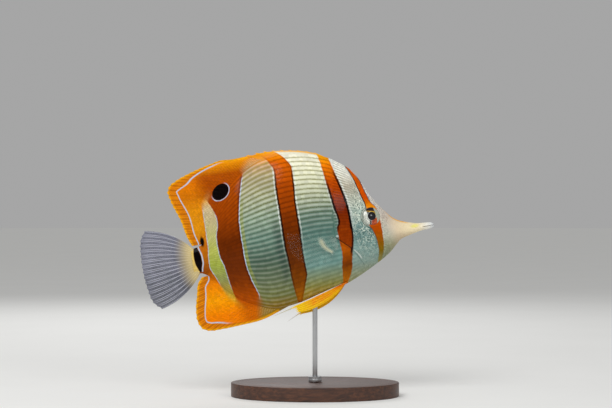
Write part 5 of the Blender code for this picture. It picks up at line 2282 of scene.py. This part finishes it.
@dataclass(frozen=True)
class Studio:
    """The pale floor, the soft lights and the camera at the photograph's angle.

    A light is its name, its place, its size and its power. All of them look at target.
    """

    camera_at: tuple[float, float, float] = (9.5, -850.0, 96.0)
    lens: float = 100.0
    sky: float = 0.38
    target: tuple[float, float, float] = (0.0, 0.0, 70.0)
    lights: tuple[tuple[str, tuple[float, float, float], float, float], ...] = (
        ("key", (-260.0, -560.0, 620.0), 420.0, 3.3),
        ("fill", (420.0, -640.0, 420.0), 170.0, 0.7),
        ("back", (-120.0, 620.0, 520.0), 480.0, 1.5),
    )

    def build(self) -> None:
        """Adds the floor, the world, the lights and the camera."""
        deselect()
        bpy.ops.mesh.primitive_circle_add(vertices=96, radius=6.0, fill_type="NGON")
        floor = bpy.context.active_object
        floor.name = "studio_floor"
        floor.data.materials.append(FloorFinish().material())
        world = bpy.data.worlds.new("soft sky")
        world.use_nodes = True
        background = world.node_tree.nodes["Background"].inputs
        background["Color"].default_value = (1.0, 1.0, 1.0, 1.0)
        background["Strength"].default_value = self.sky
        bpy.context.scene.world = world
        for name, place, size, power in self.lights:
            lamp = bpy.data.lights.new(name, "AREA")
            lamp.shape = "DISK"
            lamp.size = size * MM
            lamp.energy = power
            holder = link(name, lamp)
            at, aim = (np.array(p) * MM for p in (place, self.target))
            holder.location = at
            holder.rotation_euler = mathutils.Vector(aim - at).to_track_quat("-Z", "Y").to_euler()
        lens = bpy.data.cameras.new("photo view")
        lens.lens = self.lens
        lens.clip_start, lens.clip_end = 0.01, 50.0
        camera = link("photo view", lens)
        camera.location = np.array(self.camera_at) * MM
        camera.rotation_euler = (math.radians(90), 0, 0)
        bpy.context.scene.camera = camera
        bpy.context.scene.view_settings.view_transform = "Standard"


def place_piece(
    piece: Object, finish: Material, slot: Slot, nodes: Sequence[str] = ()
) -> None:
    """Dresses a finished piece and puts it on the frame.

    Args:
        piece: The piece.
        finish: Its material.
        slot: The material slot. It is not used.
        nodes: The CAD nodes that it stands for.
    """
    piece.data.materials.clear()
    piece.data.materials.append(finish)
    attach(piece, "root")
    if nodes:
        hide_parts(*nodes)
    piece.data.calc_loop_triangles()
    log.info("%s: %d triangles", piece.name, len(piece.data.loop_triangles))


def soft_dorsal() -> MedianFin:
    """The hind part of the dorsal fin.

    Returns:
        The fin.
    """
    margin = Line(
        (-13.2, 47.0), (-21.5, 46.7), (-26.5, 47.0), (-31.7, 46.0), (-42.2, 43.3), (-50.3, 40.3),
        (-53.6, 38.4), (-55.1, 35.6), (-54.4, 31.0), (-50.9, 20.7), (-48.5, 10.6), (-47.0, 6.9),
    )
    base = contour(BODY.back, -5.2, -42.2)
    depth = Graph((0.0, 0.2), (0.12, 0.9), (0.3, 1.5), (0.45, 2.8), (0.55, 4.6), (0.75, 5.0), (1.0, 3.4))
    return MedianFin(
        FinShape("dorsal_soft_sheet", 29), base, margin,
        lambda share: BODY.back_flat(base(share)[..., 0]), depth,
    )


def anal_fin() -> MedianFin:
    """The anal fin, with its three spines in front.

    Returns:
        The fin.
    """
    margin = Line(
        (-9.5, -32.3), (-16.7, -34.7), (-29.5, -36.1), (-39.7, -36.6), (-44.8, -36.5), (-48.4, -34.9),
        (-50.3, -31.0), (-50.3, -26.0), (-48.5, -17.7), (-46.9, -12.0), (-44.6, -9.3),
    )
    base = contour(BODY.belly, -4.2, -41.4)
    depth = Graph((0.0, 0.0), (0.25, 1.2), (0.45, 2.4), (0.6, 4.2), (0.75, 4.8), (1.0, 3.4))
    return MedianFin(
        FinShape("anal_sheet", 23), base, margin,
        lambda share: BODY.belly_flat(base(share)[..., 0]), depth,
    )


def tail_fin() -> MedianFin:
    """The tail fin.

    Returns:
        The fin.
    """
    margin = Line(
        (-66.8, -21.9), (-70.3, -18.6), (-72.6, -10.5), (-73.4, -2.0), (-73.2, 7.0), (-71.8, 14.5),
        (-69.4, 18.0),
    )

    def base(share: Array) -> Array:
        """The root line's points."""
        u = mix(BODY.tail_low, BODY.tail_top, share) - 0.3
        return np.stack([u, mix(BODY.belly(u), BODY.back(u), share)], axis=-1)

    def base_half(share: Array) -> Array:
        """Half the stalk's thickness at the root line."""
        return BODY.flesh_half(mix(BODY.tail_low, BODY.tail_top, share), share) * 0.9

    shape = FinShape("tail_sheet", 17, columns_per_ray=16, rows=48, crest=0.22, branch_from=0.22)
    return MedianFin(shape, base, margin, base_half, Graph((0.0, -NO_LINE), (1.0, -NO_LINE)), 4.0, 2.5)


def coats(side: Side) -> tuple[ScaleCoat, ScaleCoat]:
    """The scales over one side: on stalk and trunk, and smaller ones on nape, cheek and face.

    Args:
        side: The fish's side.

    Returns:
        The body's coat and the head's.
    """
    body = (
        ScaleField(16, lambda s: -47.4 + 0 * s, lambda s: -36.0 + 0 * s, -36.0, BODY.flesh_half),
        ScaleField(31, lambda s: -36.0 + 0 * s, lambda s: BODY.gill_opening(s) - 0.2, 0.0, BODY.flesh_half),
    )
    head = (
        ScaleField(46, lambda s: BODY.gill_opening(s) + 1.1, lambda s: 44.5 + 0 * s, 32.0, BODY.head_half),
        ScaleField(28, lambda s: 44.5 + 0 * s, lambda s: 54.0 + 0 * s, 46.0, BODY.head_half),
    )
    name, seed = side.name.lower(), 7 + side.value
    return (
        ScaleCoat(f"body_scales_{name}", side, body, ScaleForm(), seed),
        ScaleCoat(f"head_scales_{name}", side, head, ScaleForm(along=3, across=6), seed + 20),
    )


def main() -> None:
    """Builds the fish, its stand and the studio in order."""
    logging.basicConfig(level=logging.INFO, format="%(name)s: %(message)s")
    skin, scales, orange = SkinFinish().material(), ScaleFinish().material(), FinFinish().material()
    place_piece(
        SkinSheet().build(), skin, Slot.FLESH,
        ("head", "snout", "jaw_upper", "jaw_lower", "gill_cover_left", "gill_cover_right", "trunk",
         "tail_stalk"),
    )
    for side in Side:
        for coat in coats(side):
            place_piece(coat.build(), scales, Slot.FLESH)
    place_piece(SpinyDorsal().build(), orange, Slot.ORANGE_FIN, ("dorsal_fin_spines",))
    place_piece(soft_dorsal().build(), orange, Slot.ORANGE_FIN, ("dorsal_fin_soft",))
    place_piece(anal_fin().build(), orange, Slot.ORANGE_FIN, ("anal_fin",))
    for fin in (soft_dorsal(), anal_fin()):
        place_piece(FinScales(fin).build(), scales, Slot.ORANGE_FIN)
    place_piece(tail_fin().build(), TailFinish().material(), Slot.TAIL, ("tail_fin",))
    clear, yellow, glassy = ClearFinish().material(), YellowFinish().material(), EyeFinish().material()
    pelvics = {
        Side.RIGHT: Pelvic(Side.RIGHT, math.radians(14.4), 38.3, 3.0, 4.2),
        Side.LEFT: Pelvic(Side.LEFT, math.radians(25.2), 33.2, 3.7, 1.2, thread_half=0.16),
    }
    for side in Side:
        name = side.name.lower()
        place_piece(Pectoral(side).build(), clear, Slot.CLEAR_FIN, (f"pectoral_fin_{name}",))
        place_piece(pelvics[side].build(), yellow, Slot.YELLOW_FIN, (f"pelvic_fin_{name}",))
        place_piece(Eye(side).build_ball(), glassy, Slot.EYE, (f"eye_{name}",))
        place_piece(Eye(side).build_orbit(), skin, Slot.FLESH)
    place_piece(Nostrils().build(), skin, Slot.SNOUT)
    stand = Stand()
    wood, steel = WoodFinish().material(), SteelFinish().material()
    place_piece(stand.build_base(), wood, Slot.WOOD, ("stand_base",))
    rod = stand.build_bar("support_rod", stand.rod_radius, stand.rod_foot, stand.rod_top, 0.2)
    place_piece(rod, steel, Slot.STEEL, ("stand_rod",))
    place_piece(stand.build_collar(), steel, Slot.STEEL, ("stand_collar",))
    Studio().build()


if __name__ == "__main__":
    main()
